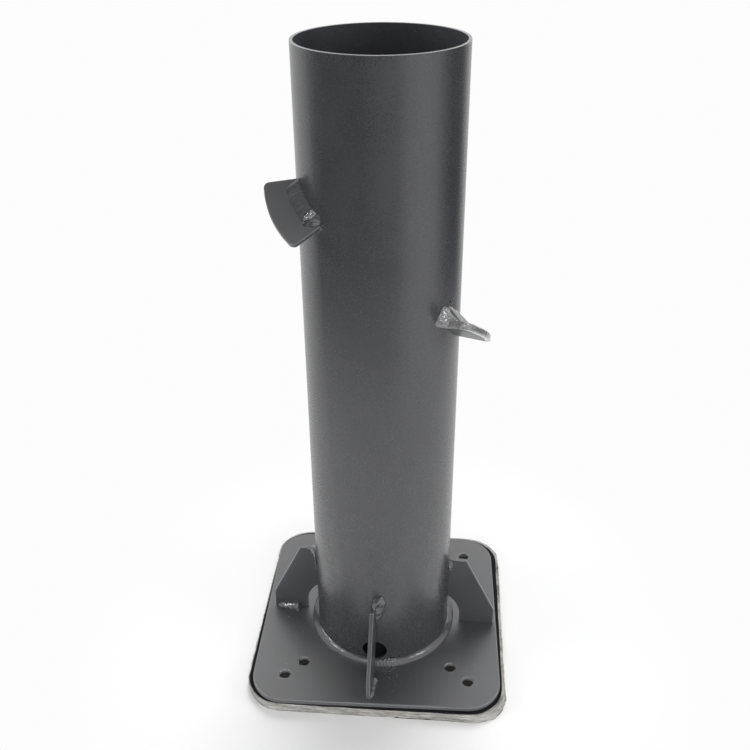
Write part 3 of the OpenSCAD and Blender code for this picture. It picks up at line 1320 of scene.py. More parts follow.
@dataclass
class GroundLayers:
    """The felt pad and the rubber mat that the plate lies on."""

    finishes: Finishes
    turn: float = -1.0
    mat_side: float = 0.2572
    mat_corner: float = 0.036
    mat_middle: tuple[float, float] = (-0.0009, -0.0020)
    felt_side: float = 0.262
    felt_corner: float = 0.0375
    mat_hole: float = 0.007
    felt_hole: float = 0.008
    felt_rows: int = 16
    fuzz: float = 0.0007
    crease_height: float = 0.0030
    crease_width: float = 0.0007
    crease_depth: float = 0.0013
    frayed_corner: float = -45.0
    frayed_width: float = 9.0
    frayed_reach: float = 0.0035
    frayed_change: float = 0.002
    wave: float = 0.0007
    wave_scale: float = 35.0
    fibres_from: float = 0.0022
    fibres_below_top: float = 0.0008

    def build(self) -> None:
        """Builds both layers and their loose fibres."""
        self.build_mat()
        felt = self.build_felt()
        self.build_fibres(felt)

    def build_mat(self) -> bpy.types.Object:
        """Builds the rubber mat, slightly wavy at its edge."""
        slab = DrilledSlab(
            name="rubber_mat_finished",
            side=self.mat_side,
            corner=self.mat_corner,
            profile=round_profile(SIZES.felt_thick, SIZES.plate_bottom, 0.0005, 3),
            hole_radius=self.mat_hole,
            hole_profile=[(0.0, SIZES.felt_thick), (0.0, SIZES.plate_bottom)],
            middle=self.mat_middle,
            turn=self.turn,
            step=0.003,
        )
        piece = new_object(slab.name, slab.build(), [self.finishes.rubber])
        middle = Vector((*self.mat_middle, 0.0))
        for vertex in piece.data.vertices:
            out = self._from_core(vertex.co - middle, self.mat_side, self.mat_corner)
            if out.length > self.mat_corner / 2:
                wave = 0.0002 + abs(noise.noise(vertex.co * self.wave_scale)) * self.wave
                vertex.co -= out.normalized() * wave
        even_shading(piece)
        return hand_over(settle(piece), ["rubber_mat"])

    def build_felt(self) -> bpy.types.Object:
        """Builds the felt pad with its rough wall."""
        slab = DrilledSlab(
            name="felt_pad_finished",
            side=self.felt_side,
            corner=self.felt_corner,
            profile=[(0.0, SIZES.felt_thick * i / self.felt_rows) for i in range(self.felt_rows + 1)],
            hole_radius=self.felt_hole,
            hole_profile=[(0.0, 0.0), (0.0, SIZES.felt_thick)],
            turn=self.turn,
            step=0.0011,
        )
        piece = new_object(slab.name, slab.build(), [self.finishes.felt])
        for vertex in piece.data.vertices:
            out = self._from_core(vertex.co, self.felt_side, self.felt_corner)
            if out.length > self.felt_corner / 2:
                vertex.co += out.normalized() * self._roughness_at(vertex.co)
        even_shading(piece, 75.0)
        hand_over(settle(piece), ["felt_pad"])
        return piece

    def _from_core(self, place: Vector, side: float, corner: float) -> Vector:
        """Gives the level vector from a layer's inner square to a place near its outline.

        Args:
            place: The place.
            side: Side of the layer.
            corner: Radius of its corners.

        Returns:
            The vector, as long as the corner's radius on the outline.
        """
        spin = Matrix.Rotation(math.radians(self.turn), 3, "Z")
        flat = spin.inverted() @ Vector((place.x, place.y, 0.0))
        limit = side / 2 - corner
        core = Vector((max(-limit, min(limit, flat.x)), max(-limit, min(limit, flat.y)), 0.0))
        return spin @ (flat - core)

    def _roughness_at(self, place: Vector) -> float:
        """Tells how far the felt's wall stands out.

        Args:
            place: A point of the wall.

        Returns:
            The distance, below zero where the wall stands back.
        """
        level = Vector((place.x, place.y, place.z * 2.2))
        rough = noise.noise(level * 300.0) * self.fuzz + noise.noise(level * 80.0) * self.fuzz * 0.8
        hollow = 0.5 + noise.noise(Vector((place.x, place.y, 0.0)) * 24.0)
        off_crease = (place.z - self.crease_height) / self.crease_width
        crease = math.exp(-(off_crease**2)) * self.crease_depth * hollow
        bearing = math.degrees(math.atan2(place.y, place.x))
        fray = math.exp(-(((bearing - self.frayed_corner) / self.frayed_width) ** 2))
        spread = 1.0 - place.z / SIZES.felt_thick
        change = noise.noise(level * 150.0) * self.frayed_change
        loose = fray * spread * (self.frayed_reach + change)
        return min(rough - self.fuzz, 0.0) - crease + loose

    def build_fibres(self, felt: bpy.types.Object) -> None:
        """Lets loose fibres stand out of the felt's wall.

        Args:
            felt: The felt pad.
        """
        body = bmesh.new()
        body.from_mesh(felt.data)
        hidden = []
        for face in body.faces:
            middle = face.calc_center_median()
            reach = self._from_core(middle, self.felt_side, self.felt_corner).length
            deep = reach < self.felt_corner - 0.006
            top = SIZES.felt_thick - self.fibres_below_top
            if deep or abs(face.normal.z) > 0.8 or not self.fibres_from < middle.z < top:
                hidden.append(face)
        bmesh.ops.delete(body, geom=hidden, context="FACES")
        wall = bpy.data.meshes.new("felt_wall")
        body.to_mesh(wall)
        body.free()
        piece = grow(
            "felt_fibres",
            wall,
            GrowthTrees.fibres(),
            Density=330000.0,
            Shortest=0.0008,
            Longest=0.0022,
            Thickness=0.00007,
            Least_lean=0.85,
            Most_lean=1.45,
            Seed=5,
            Finish=self.finishes.fibre,
        )
        hand_over(piece, [])


@dataclass
class FootPlate:
    """The square steel plate with its eight bolt holes."""

    finishes: Finishes
    edge_radius: float = 0.0010
    hole_edge: float = 0.0006

    def build(self) -> None:
        """Builds the plate and the paint that lines its holes."""
        slab = DrilledSlab(
            name="base_plate_finished",
            side=SIZES.plate_side,
            corner=SIZES.plate_corner,
            profile=round_profile(SIZES.plate_bottom, SIZES.plate_top, self.edge_radius),
            hole_radius=SIZES.hole_radius,
            hole_profile=round_profile(SIZES.plate_bottom, SIZES.plate_top, self.hole_edge),
            middle=SIZES.plate_middle,
        )
        piece = new_object(slab.name, slab.build(), [self.finishes.plate, self.finishes.edge])
        # The faces of the upper edge's rounding take the lighter edge paint, a painted highlight.
        for face in piece.data.polygons:
            if abs(face.normal.z) < 0.99 and face.center.z > SIZES.plate_top - self.edge_radius:
                face.material_index = 1
        even_shading(piece)
        hand_over(settle(piece), ["base_plate"])
        self.build_hole_lips()

    def build_hole_lips(self) -> None:
        """Lines the bolt holes with streaky pale paint, whose pale tint is a painted glint on the hole
        walls.
        """
        points = bpy.data.meshes.new("hole_middles")
        middle = (SIZES.plate_bottom + SIZES.plate_top) / 2
        points.from_pydata([(x, y, middle) for x, y in SIZES.hole_centres()], [], [])
        piece = grow(
            "bolt_hole_lips",
            points,
            GrowthTrees.hole_lips(),
            Hole_radius=SIZES.hole_radius,
            Half_depth=SIZES.plate_thick / 2 + 0.0002,
            Build_up=0.0005,
            Streak_depth=0.0014,
            Seed=9,
            Finish=self.finishes.lip,
        )
        hand_over(piece, [])


@dataclass
class EasedSteel:
    """A cut steel piece: its CAD node's shape with eased edges in thin paint, tinted lighter as a painted
    highlight.
    """

    node: str
    edge_radius: float
    face: bpy.types.Material
    edge: bpy.types.Material

    def build(self) -> bpy.types.Object:
        """Builds the piece from a merged copy of its node and returns it."""
        body = bmesh.new()
        body.from_mesh(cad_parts[self.node].data)
        bmesh.ops.remove_doubles(body, verts=body.verts, dist=0.00001)
        bmesh.ops.dissolve_limit(body, angle_limit=math.radians(0.4), verts=body.verts, edges=body.edges)
        mesh = bpy.data.meshes.new(f"{self.node}_finished")
        body.to_mesh(mesh)
        body.free()
        mesh.materials.clear()
        piece = new_object(mesh.name, mesh, [self.face, self.edge])
        for polygon in mesh.polygons:
            polygon.material_index = 0
        eased = piece.modifiers.new("eased_edges", "BEVEL")
        eased.width = self.edge_radius
        eased.segments = 3
        eased.limit_method = "ANGLE"
        eased.angle_limit = math.radians(35.0)
        eased.material = 1
        settle(piece)
        even_shading(piece)
        return settle(piece)


@dataclass
class SocketTube:
    """The upright tube with its open mouth and the drain hole at its foot."""

    finishes: Finishes
    edge_radius: float = 0.0006

    def build(self) -> None:
        """Builds the tube and gives its inside a paint of its own."""
        piece = EasedSteel("post_tube", self.edge_radius, self.finishes.satin, self.finishes.edge).build()
        mesh = piece.data
        mesh.materials.append(self.finishes.inside)
        normals = [Vector(corner.vector) for corner in mesh.corner_normals]
        for face in mesh.polygons:
            out = SIZES.from_axis(face.center)
            facing = face.normal.dot(out.normalized())
            if abs(facing) < 0.985:
                continue
            if facing < 0 and out.length < SIZES.tube_radius - SIZES.tube_wall / 2:
                face.material_index = 2
            for corner in face.loop_indices:
                place = mesh.vertices[mesh.loops[corner].vertex_index].co
                radial = SIZES.from_axis(place).normalized()
                normals[corner] = radial if facing > 0 else -radial
        mesh.normals_split_custom_set([tuple(n) for n in normals])
        hand_over(piece, ["post_tube"])


@dataclass
class GussetCross:
    """The four upright gussets round the foot of the tube."""

    finishes: Finishes
    edge_radius: float = 0.0006

    def build(self) -> None:
        """Builds each gusset."""
        for side in Side:
            node = f"gusset_{side.name.lower()}"
            piece = EasedSteel(node, self.edge_radius, self.finishes.flat, self.finishes.edge).build()
            hand_over(piece, [node])


@dataclass(frozen=True)
class LugPlace:
    """Where one lug stands on the tube, and what its weld is like."""

    name: str
    turn: float
    depth: float
    slope: float
    dip: float
    weld_widths: tuple[float, float]
    weld_height: float
    fullness: float
    rough: float
    taper: float
    seed: float

    @property
    def frame(self) -> Matrix:
        """The lug's own frame: x out, y downhill, z up from its face."""
        return (
            Matrix.Translation((*SIZES.tube_middle, 0.0))
            @ Matrix.Rotation(math.radians(self.turn), 4, "Z")
            @ Matrix.Translation((SIZES.tube_radius, 0.0, SIZES.rim_height - self.depth))
            @ Matrix.Rotation(math.radians(-self.slope), 4, "X")
            @ Matrix.Rotation(math.radians(self.dip), 4, "Y")
        )


@dataclass
class LugPair:
    """The two sloping lugs on the tube, with their welds."""

    finishes: Finishes
    edge_radius: float = 0.0006
    weld_half_length: float = 0.0225
    ring_place: tuple[float, float] = (-29.0, 0.4127)
    ring_radius: float = 0.0017
    places: tuple[LugPlace, ...] = (
        LugPlace("left", -146.0, 0.119, 38.0, 20.0, (0.0120, 0.0095), 0.0044, 1.5, 0.60, 0.004, 2.0),
        LugPlace("right", -26.0, 0.230, 35.0, -4.0, (0.0180, 0.0180), 0.0135, 2.0, 0.65, 0.003, 6.0),
    )

    def build(self) -> None:
        """Builds both lugs, their welds and a ring-shaped drop beside the right one."""
        for place in self.places:
            node = f"lug_{place.name}"
            piece = EasedSteel(node, self.edge_radius, self.finishes.flat, self.finishes.edge).build()
            hand_over(piece, [node])
            self.build_weld(place)
        self.build_lumpy_end()
        self.build_wrap()
        self.build_thick_edge()
        self.build_ring_drop()

    def seam_point(self, place: LugPlace, along: float, lift: float) -> Vector:
        """Finds the point of the tube's wall over a lug's face.

        Args:
            place: The lug.
            along: Distance along the lug from its middle.
            lift: Height above the lug's face.

        Returns:
            The point in the frame.
        """
        near, far = -0.03, 0.03
        for _ in range(40):
            middle = (near + far) / 2
            if SIZES.from_axis(place.frame @ Vector((middle, along, lift))).length < SIZES.tube_radius:
                near = middle
            else:
                far = middle
        return place.frame @ Vector((near, along, lift))

    def stations_on(
        self,
        place: LugPlace,
        span: tuple[float, float],
        widths: tuple[float, float],
        height: float,
        rough: float,
    ) -> list[Station]:
        """Lists the stations of a bead on a lug's upper seam.

        Args:
            place: The lug.
            span: Where the bead starts and ends, along the lug from its middle.
            widths: Its width on the lug at the start and at the end.
            height: Its height up the tube's wall.
            rough: Its roughness.

        Returns:
            The stations.
        """
        count = 40
        outward = (place.frame.to_3x3() @ Vector((1.0, 0.0, 0.0))).normalized()
        stations = []
        for i in range(count + 1):
            share = i / count
            along = span[0] + (span[1] - span[0]) * share
            seam = self.seam_point(place, along, 0.0)
            width = widths[0] + (widths[1] - widths[0]) * share
            wall = self.seam_point(place, along, height) - seam
            stations.append(Station(seam, outward * width, wall, rough))
        return stations

    def build_lumpy_end(self) -> None:
        """Lays the short glossy run, full of lumps, over the lower end of the left lug's weld."""
        left = self.places[0]
        bead = Bead(
            "lug_left_lumpy_end",
            self.stations_on(left, (0.0060, self.weld_half_length), (0.0080, 0.0120), 0.0060, 1.0),
            self.finishes.weld,
            seed=9.0,
            fullness=1.25,
            taper=0.006,
            wander=0.3,
            ripple_pitch=0.0050,
            ripple_depth=0.0009,
            lump_size=0.0034,
            lump_depth=0.0024,
            step=0.0004,
        )
        bead.join()

    def build_weld(self, place: LugPlace) -> None:
        """Lays the weld on a lug's upper seam.

        Args:
            place: The lug.
        """
        span = (-self.weld_half_length, self.weld_half_length)
        name = f"lug_{place.name}_weld"
        bead = Bead(
            f"{name}_finished",
            self.stations_on(place, span, place.weld_widths, place.weld_height, place.rough),
            self.finishes.dull if place.name == "left" else self.finishes.thick,
            seed=place.seed,
            fullness=place.fullness,
            taper=place.taper,
            ripple_pitch=0.0044,
            ripple_depth=0.0007,
            lump_size=0.0040,
            lump_depth=0.0013,
        )
        bead.join(name)

    def build_wrap(self) -> None:
        """Takes the right lug's weld round the near end of its root, down to its underside."""
        right = self.places[1]
        end, past_end, rough = -0.0228, 0.0050, 1.6
        highest, way_down, count = 0.0125, 0.0185, 20
        longest, shortest, bend = 0.017, 0.0015, 1.6
        outward = (right.frame.to_3x3() @ Vector((1.0, 0.0, 0.0))).normalized()
        stations = []
        for i in range(count + 1):
            lift = highest - way_down * i / count
            seam = self.seam_point(right, end, lift)
            reach = longest * (1.0 - max(0.0, lift) / right.weld_height) ** bend + shortest
            wall = self.seam_point(right, end - past_end, lift) - seam
            stations.append(Station(seam, outward * reach, wall, rough))
        bead = Bead(
            "lug_right_weld_wrap",
            stations,
            self.finishes.thick,
            seed=8.0,
            fullness=1.25,
            taper=0.002,
            ripple_depth=0.0003,
            lump_size=0.0030,
            lump_depth=0.0012,
            back_share=0.3,
        )
        bead.join()

    def build_thick_edge(self) -> None:
        """Lays the thick run of weld and paint along the right lug's near edge and round its outer edge."""
        right = self.places[1]
        turned = right.frame.to_3x3()
        up = (turned @ Vector((0.0, 0.0, 1.0))).normalized()
        corner_radius, arc_radius, arc_middle = 0.005, 0.080, Vector((-0.050, 0.0, 0.0))
        near_corner, far_corner = Vector((0.0207, -0.0250, 0.0)), Vector((0.0207, 0.0250, 0.0))
        drawn_in, below_face = 0.0030, 0.0047
        arm_out, arm_up = 0.0042, 0.0060

        def heading(angle: float) -> Vector:
            """Gives the level direction of an angle in the lug's frame."""
            return Vector((math.cos(math.radians(angle)), math.sin(math.radians(angle)), 0.0))

        leave = near_corner + heading(-108.0) * corner_radius
        places = [(Vector((0.0, -0.0230, 0.0)).lerp(leave, i / 12), -108.0) for i in range(12)]
        for middle, radius, angles in (
            (near_corner, corner_radius, (-108.0, -85.0, -62.0, -40.0)),
            (arc_middle, arc_radius, [-19.5 + 1.5 * i for i in range(27)]),
            (far_corner, corner_radius, (40.0, 62.0)),
        ):
            places += [(middle + heading(angle) * radius, angle) for angle in angles]
        stations = []
        for i, (place, angle) in enumerate(places):
            facing = heading(angle)
            seam = right.frame @ (place - facing * drawn_in - Vector((0.0, 0.0, below_face)))
            rough = max(0.4, 1.6 - 0.05 * i)
            outward = (turned @ facing).normalized()
            stations.append(Station(seam, outward * arm_out, up * arm_up, rough))
        # The run takes the lightened paint: painted glare on the lug's near end.
        bead = Bead(
            "lug_right_thick_edge",
            stations,
            self.finishes.thick,
            seed=13.0,
            fullness=0.45,
            taper=0.002,
            wander=0.10,
            ripple_depth=0.0001,
            lump_size=0.0026,
            lump_depth=0.0006,
            back_share=0.06,
        )
        bead.join()

    def build_ring_drop(self) -> None:
        """Lays the small ring-shaped drop on the tube above the right lug."""
        turn, height = self.ring_place
        middle = SIZES.beside_tube(turn, SIZES.tube_radius, 0.0, height)
        outward = SIZES.from_axis(middle).normalized()
        aside = Vector((0.0, 0.0, 1.0)).cross(outward)
        stations = []
        count, width, height = 24, 0.0006, 0.0007
        for i in range(count):
            angle = math.tau * i / count
            spoke = aside * math.cos(angle) + Vector((0.0, 0.0, math.sin(angle)))
            stations.append(Station(middle + spoke * self.ring_radius, spoke * width, outward * height))
        bead = Bead(
            "ring_shaped_drop",
            stations,
            self.finishes.weld,
            closed=True,
            fullness=1.0,
            ripple_depth=0.0,
            lump_depth=0.0001,
            step=0.0003,
            back_share=1.0,
        )
        bead.join()


@dataclass(frozen=True)
class SpatterPatch:
    """A patch of weld spatter round a place on the tube or the plate."""

    turn: float
    out: float
    height: float
    radius: float
    count: int
    largest: float
    smallest: float = 0.00022

    @property
    def on_plate(self) -> bool:
        """Whether the patch lies on the plate and not on the tube."""
        return self.height <= SIZES.plate_top

    def drops(self, chance: random.Random) -> list[Drop]:
        """Scatters the patch's drops, thickest at its middle.

        Args:
            chance: The source of chance.

        Returns:
            The drops.
        """
        made = []
        up = Vector((0.0, 0.0, 1.0))
        middle = SIZES.beside_tube(self.turn, self.out, 0.0, self.height)
        outward = SIZES.from_axis(middle).normalized()
        aside = up.cross(outward)
        for _ in range(self.count):
            angle, far = chance.uniform(0.0, math.tau), self.radius * chance.random()
            size = self.smallest + (self.largest - self.smallest) * chance.random() ** 3
            across, over = far * math.cos(angle), far * math.sin(angle)
            if self.on_plate:
                place = middle + aside * across + outward * over
                made.append(Drop(place, up, size))
                continue
            place = middle + aside * across + up * over
            facing = SIZES.from_axis(place).normalized()
            turn = math.degrees(math.atan2(facing.y, facing.x))
            made.append(Drop(SIZES.beside_tube(turn, SIZES.tube_radius, 0.0, place.z), facing, size))
        return made


@dataclass
class WeldWork:
    """The weld round the tube's foot, the gusset welds and the spatter."""

    finishes: Finishes
    ring_width: float = 0.0066
    ring_height: float = 0.0052
    ring_rough: float = 0.08
    rough_places: tuple[tuple[float, float, float], ...] = (
        (-83.0, 7.0, 1.9),
        (168.0, 16.0, 1.7),
        (4.0, 16.0, 1.7),
    )
    post_weld_length: float = 0.026
    post_weld_width: float = 0.0105
    short_share: float = 0.55
    top_arm: float = 0.012
    top_rise: float = 0.0045
    top_rough: float = 1.8
    plate_weld_length: float = 0.028
    plate_weld_end: float = 0.117
    plate_weld_share: dict[Side, float] = field(
        default_factory=lambda: {Side.FRONT: 0.55, Side.RIGHT: 0.9, Side.REAR: 0.9, Side.LEFT: 1.0}
    )
    leg: float = 0.007
    short_side: Side = Side.RIGHT

    def build(self) -> None:
        """Builds every weld at the foot and the spatter round them."""
        self.build_ring()
        for number, side in enumerate(Side):
            self.build_post_weld(side, 11.0 + number)
            self.build_plate_weld(side, 21.0 + number)
        self.build_spatter()

    def build_ring(self) -> None:
        """Lays the weld round the tube's foot, rough beside the front, left and right gussets."""
        stations = []
        wall = Vector((0.0, 0.0, self.ring_height))
        count = 240
        for i in range(count):
            turn = i * 360.0 / count
            seam = SIZES.beside_tube(turn, SIZES.tube_radius, 0.0, SIZES.plate_top)
            outward = SIZES.from_axis(seam).normalized()
            rough = self.ring_rough
            for middle, spread, share in self.rough_places:
                away = (turn - middle + 180.0) % 360.0 - 180.0
                rough += share * math.exp(-((away / spread) ** 2))
            stations.append(Station(seam, outward * self.ring_width, wall, rough))
        bead = Bead(
            "foot_weld_finished",
            stations,
            self.finishes.ring,
            seed=4.0,
            closed=True,
            fullness=1.25,
            wander=0.06,
            ripple_pitch=0.0034,
            ripple_depth=0.0005,
            lump_size=0.005,
            lump_depth=0.0011,
            step=0.0008,
        )
        bead.join("foot_weld")

    def build_post_weld(self, side: Side, seed: float) -> None:
        """Lays the weld between a gusset and the tube.

        A full one starts on the gusset's flat top and turns down its face. The short one
        has only its upper half.

        Args:
            side: The gusset's direction.
            seed: Seed of the bead's lumps.
        """
        short = side is self.short_side
        hand = Hand.RIGHT if short else Hand.LEFT
        turn = SIZES.tube_turn + side.value
        top = SIZES.plate_top + SIZES.gusset_height
        half = SIZES.gusset_thick / 2
        outward = SIZES.from_axis(SIZES.beside_tube(turn, 1.0, 0.0, 0.0)).normalized()
        up = Vector((0.0, 0.0, 1.0))
        aside = up.cross(outward) * hand.value
        stations = []
        if not short:
            for i in range(7):
                seam = SIZES.beside_tube(turn, SIZES.tube_radius, hand.value * half * (i / 3 - 1), top)
                stations.append(Station(seam, outward * self.top_arm, up * self.top_rise, self.top_rough))
        length = self.post_weld_length * (self.short_share if short else 1.0)
        count = 14
        for i in range(1, count + 1):
            share = i / count
            height = top - length * share
            seam = SIZES.beside_tube(turn, SIZES.tube_radius - 0.0001, hand.value * half, height)
            lean = max(0.0, 1.0 - share * 6)
            width = (self.leg if short else self.post_weld_width) * (1.0 - 0.45 * share)
            arm = self.leg * (0.72 - 0.1 * share) + 0.006 * lean
            heading = (aside * (1.0 - lean) + up * lean).normalized()
            stations.append(Station(seam, outward * arm, heading * width))
        name = f"gusset_{side.name.lower()}_post_weld"
        bead = Bead(
            f"{name}_finished",
            stations,
            self.finishes.weld,
            seed=seed,
            taper=0.003,
            fullness=1.5,
            ripple_pitch=0.0060,
            ripple_depth=0.0002,
            lump_size=0.0040,
            lump_depth=0.0009,
        )
        bead.join(name)

    def build_plate_weld(self, side: Side, seed: float) -> None:
        """Lays the weld between a gusset and the plate, thickest at its inner end.

        Args:
            side: The gusset's direction.
            seed: Seed of the bead's lumps.
        """
        turn = SIZES.tube_turn + side.value
        half = SIZES.gusset_thick / 2
        up = Vector((0.0, 0.0, 1.0))
        outward = SIZES.from_axis(SIZES.beside_tube(turn, 1.0, 0.0, 0.0)).normalized()
        aside = up.cross(outward)
        stations = []
        count = 14
        knot_place, knot_spread, knot_size = 0.86, 0.14, 0.45
        for i in range(count + 1):
            share = i / count
            out = self.plate_weld_end - self.plate_weld_length * share
            seam = SIZES.beside_tube(turn, out, half, SIZES.plate_top)
            knot = 1.0 + knot_size * math.exp(-(((share - knot_place) / knot_spread) ** 2))
            arm = self.leg * self.plate_weld_share[side] * (0.75 + 0.15 * share) * knot
            stations.append(Station(seam, aside * arm, up * arm * 0.8, 0.5 + 1.5 * share * share))
        name = f"gusset_{side.name.lower()}_plate_weld"
        bead = Bead(
            f"{name}_finished",
            stations,
            self.finishes.weld,
            seed=seed,
            taper=0.005,
            ripple_pitch=0.0062,
            ripple_depth=0.0004,
            lump_size=0.0045,
            lump_depth=0.0008,
        )
        bead.join(name)

    def build_spatter(self) -> None:
        """Scatters spatter where the welding left it, and sets the larger drops singly."""
        chance = random.Random(17)
        wall, floor = SIZES.tube_radius, SIZES.plate_top
        patches = (
            SpatterPatch(-84.0, 0.082, floor, 0.013, 60, 0.0010),
            SpatterPatch(-79.0, 0.093, floor, 0.018, 30, 0.0009),
            SpatterPatch(-80.3, 0.100, floor, 0.003, 2, 0.0010),
            SpatterPatch(-174.0, 0.090, floor, 0.014, 20, 0.0010),
            SpatterPatch(-6.0, 0.088, floor, 0.010, 7, 0.0007),
            SpatterPatch(-131.0, wall, 0.4825, 0.0055, 48, 0.0013),
            SpatterPatch(-150.0, wall, 0.512, 0.010, 8, 0.0006),
            SpatterPatch(-35.0, wall, 0.402, 0.011, 34, 0.0010),
            SpatterPatch(-76.0, wall, 0.085, 0.010, 9, 0.0006),
            SpatterPatch(100.0, wall, 0.095, 0.014, 10, 0.0008),
        )
        drops = [drop for patch in patches for drop in patch.drops(chance)]
        for turn, height, radius in (
            (-75.6, 0.579, 0.0006),
            (-73.8, 0.567, 0.0005),
            (-119.7, 0.466, 0.0006),
            (-121.5, 0.466, 0.0005),
            (-36.4, 0.408, 0.0010),
        ):
            place = SIZES.beside_tube(turn, wall, 0.0, height)
            drops.append(Drop(place, SIZES.from_axis(place).normalized(), radius))
        piece = lay_drops("weld_spatter", drops, self.finishes.weld, 3)
        hand_over(piece, [])


class LampUse(Enum):
    """Which share of the light on the part a lamp gives."""

    ALL = (True, True)
    BODY = (True, False)
    GLOSS = (False, True)


@dataclass(frozen=True)
class Lamp:
    """A soft square lamp."""

    name: str
    place: tuple[float, float, float]
    aim: tuple[float, float, float]
    size: float
    power: float
    use: LampUse = LampUse.ALL

    def make(self) -> None:
        """Puts the lamp into the scene."""
        data = bpy.data.lights.new(self.name, "AREA")
        data.shape = "SQUARE"
        data.size = self.size
        data.energy = self.power
        lamp = bpy.data.objects.new(self.name, data)
        lamp.location = self.place
        heading = Vector(self.aim) - Vector(self.place)
        lamp.rotation_euler = heading.to_track_quat("-Z", "Y").to_euler()
        lamp.visible_camera = False
        lamp.visible_diffuse, lamp.visible_glossy = self.use.value
        bpy.context.scene.collection.objects.link(lamp)


def hang_dark(name: str, corners: Sequence[Sequence[float]], material: bpy.types.Material) -> None:
    """Stages a dark face that only shows in the gloss of the paint.

    Args:
        name: Name of the face's object.
        corners: Its four corners, in order.
        material: Its material.
    """
    mesh = bpy.data.meshes.new(name)
    mesh.from_pydata(corners, [], [(0, 1, 2, 3)])
    face = new_object(name, mesh, [material])
    face.visible_camera = False
    face.visible_diffuse = False
    face.visible_shadow = False
    face.visible_transmission = False


@dataclass(frozen=True)
class DarkFace:
    """A dull dark face that fades out towards its borders."""

    name: str
    turn: float
    tint: Colour = field(default=(0.02, 0.02, 0.022, 1.0), kw_only=True)

    def begin(self) -> tuple[bpy.types.Material, NodeBench, bpy.types.Node, bpy.types.Node]:
        """Starts the material and returns it, its bench, its shader and the split place."""
        material, bench, shader = new_material(self.name)
        bench.fill(shader, {"Base Color": self.tint, "Roughness": 0.9, "Specular IOR Level": 0.0})
        parts = bench.put("ShaderNodeSeparateXYZ", {"Vector": bench.place()})
        return material, bench, shader, parts

    def along(self, bench: NodeBench, parts: bpy.types.Node, turn: float) -> bpy.types.NodeSocket:
        """Measures how far a place lies in a level direction.

        Args:
            bench: Bench of the material.
            parts: The split place.
            turn: The direction, in degrees.

        Returns:
            The distance.
        """
        across = bench.math("MULTIPLY_ADD", parts.outputs["X"], math.cos(math.radians(turn)), 0.0)
        return bench.math("MULTIPLY_ADD", parts.outputs["Y"], math.sin(math.radians(turn)), across)


@dataclass(frozen=True)
class DarkBoard(DarkFace):
    """A dark board that lies in a sector round the part's axis."""

    height: float
    half_angle: float
    soft_angle: float
    near: float
    solid: float
    far: float

    def make(self) -> None:
        """Puts the board into the scene."""
        half, z = self.far, self.height
        corners = [(-half, -half, z), (half, -half, z), (half, half, z), (-half, half, z)]
        hang_dark(self.name, corners, self.material())

    def material(self) -> bpy.types.Material:
        """Makes the board's material, clear outside its sector."""
        material, bench, shader, parts = self.begin()
        far = bench.length(bench.combine(parts.outputs["X"], parts.outputs["Y"]))
        along = self.along(bench, parts, self.turn)
        heading = bench.math("ARCCOSINE", bench.math("DIVIDE", along, bench.math("MAXIMUM", far, 0.001)))
        inner = math.radians(self.half_angle)
        outer = inner + math.radians(self.soft_angle)
        sector = bench.math("SUBTRACT", 1.0, bench.ramp(heading, inner, outer))
        depth = bench.ramp(far, self.near, self.solid)
        cut = bench.math("SUBTRACT", 1.0, bench.ramp(far, self.far * 0.8, self.far))
        shown = bench.math("MULTIPLY", bench.math("MULTIPLY", sector, depth), cut)
        bench.feed(shader.inputs["Alpha"], shown)
        return material


@dataclass(frozen=True)
class DarkScreen(DarkFace):
    """A dark screen that stands behind the camera."""

    distance: float
    half_width: float
    height: float
    soft: float

    def make(self) -> None:
        """Puts the screen into the scene."""
        spin = math.radians(self.turn)
        middle = Vector((math.cos(spin), math.sin(spin), 0.0)) * self.distance
        aside = Vector((-math.sin(spin), math.cos(spin), 0.0)) * self.half_width
        top = Vector((0.0, 0.0, self.height))
        left, right = middle - aside, middle + aside
        hang_dark(self.name, [left, right, right + top, left + top], self.material())

    def material(self) -> bpy.types.Material:
        """Makes the screen's material, clear towards its top and its sides."""
        material, bench, shader, parts = self.begin()
        side = bench.math("ABSOLUTE", self.along(bench, parts, self.turn + 90.0))
        narrow = bench.ramp(side, self.half_width - self.soft, self.half_width)
        low = bench.ramp(parts.outputs["Z"], self.height * 0.6, self.height)
        wide, high = bench.math("SUBTRACT", 1.0, narrow), bench.math("SUBTRACT", 1.0, low)
        bench.feed(shader.inputs["Alpha"], bench.math("MULTIPLY", wide, high))
        return material


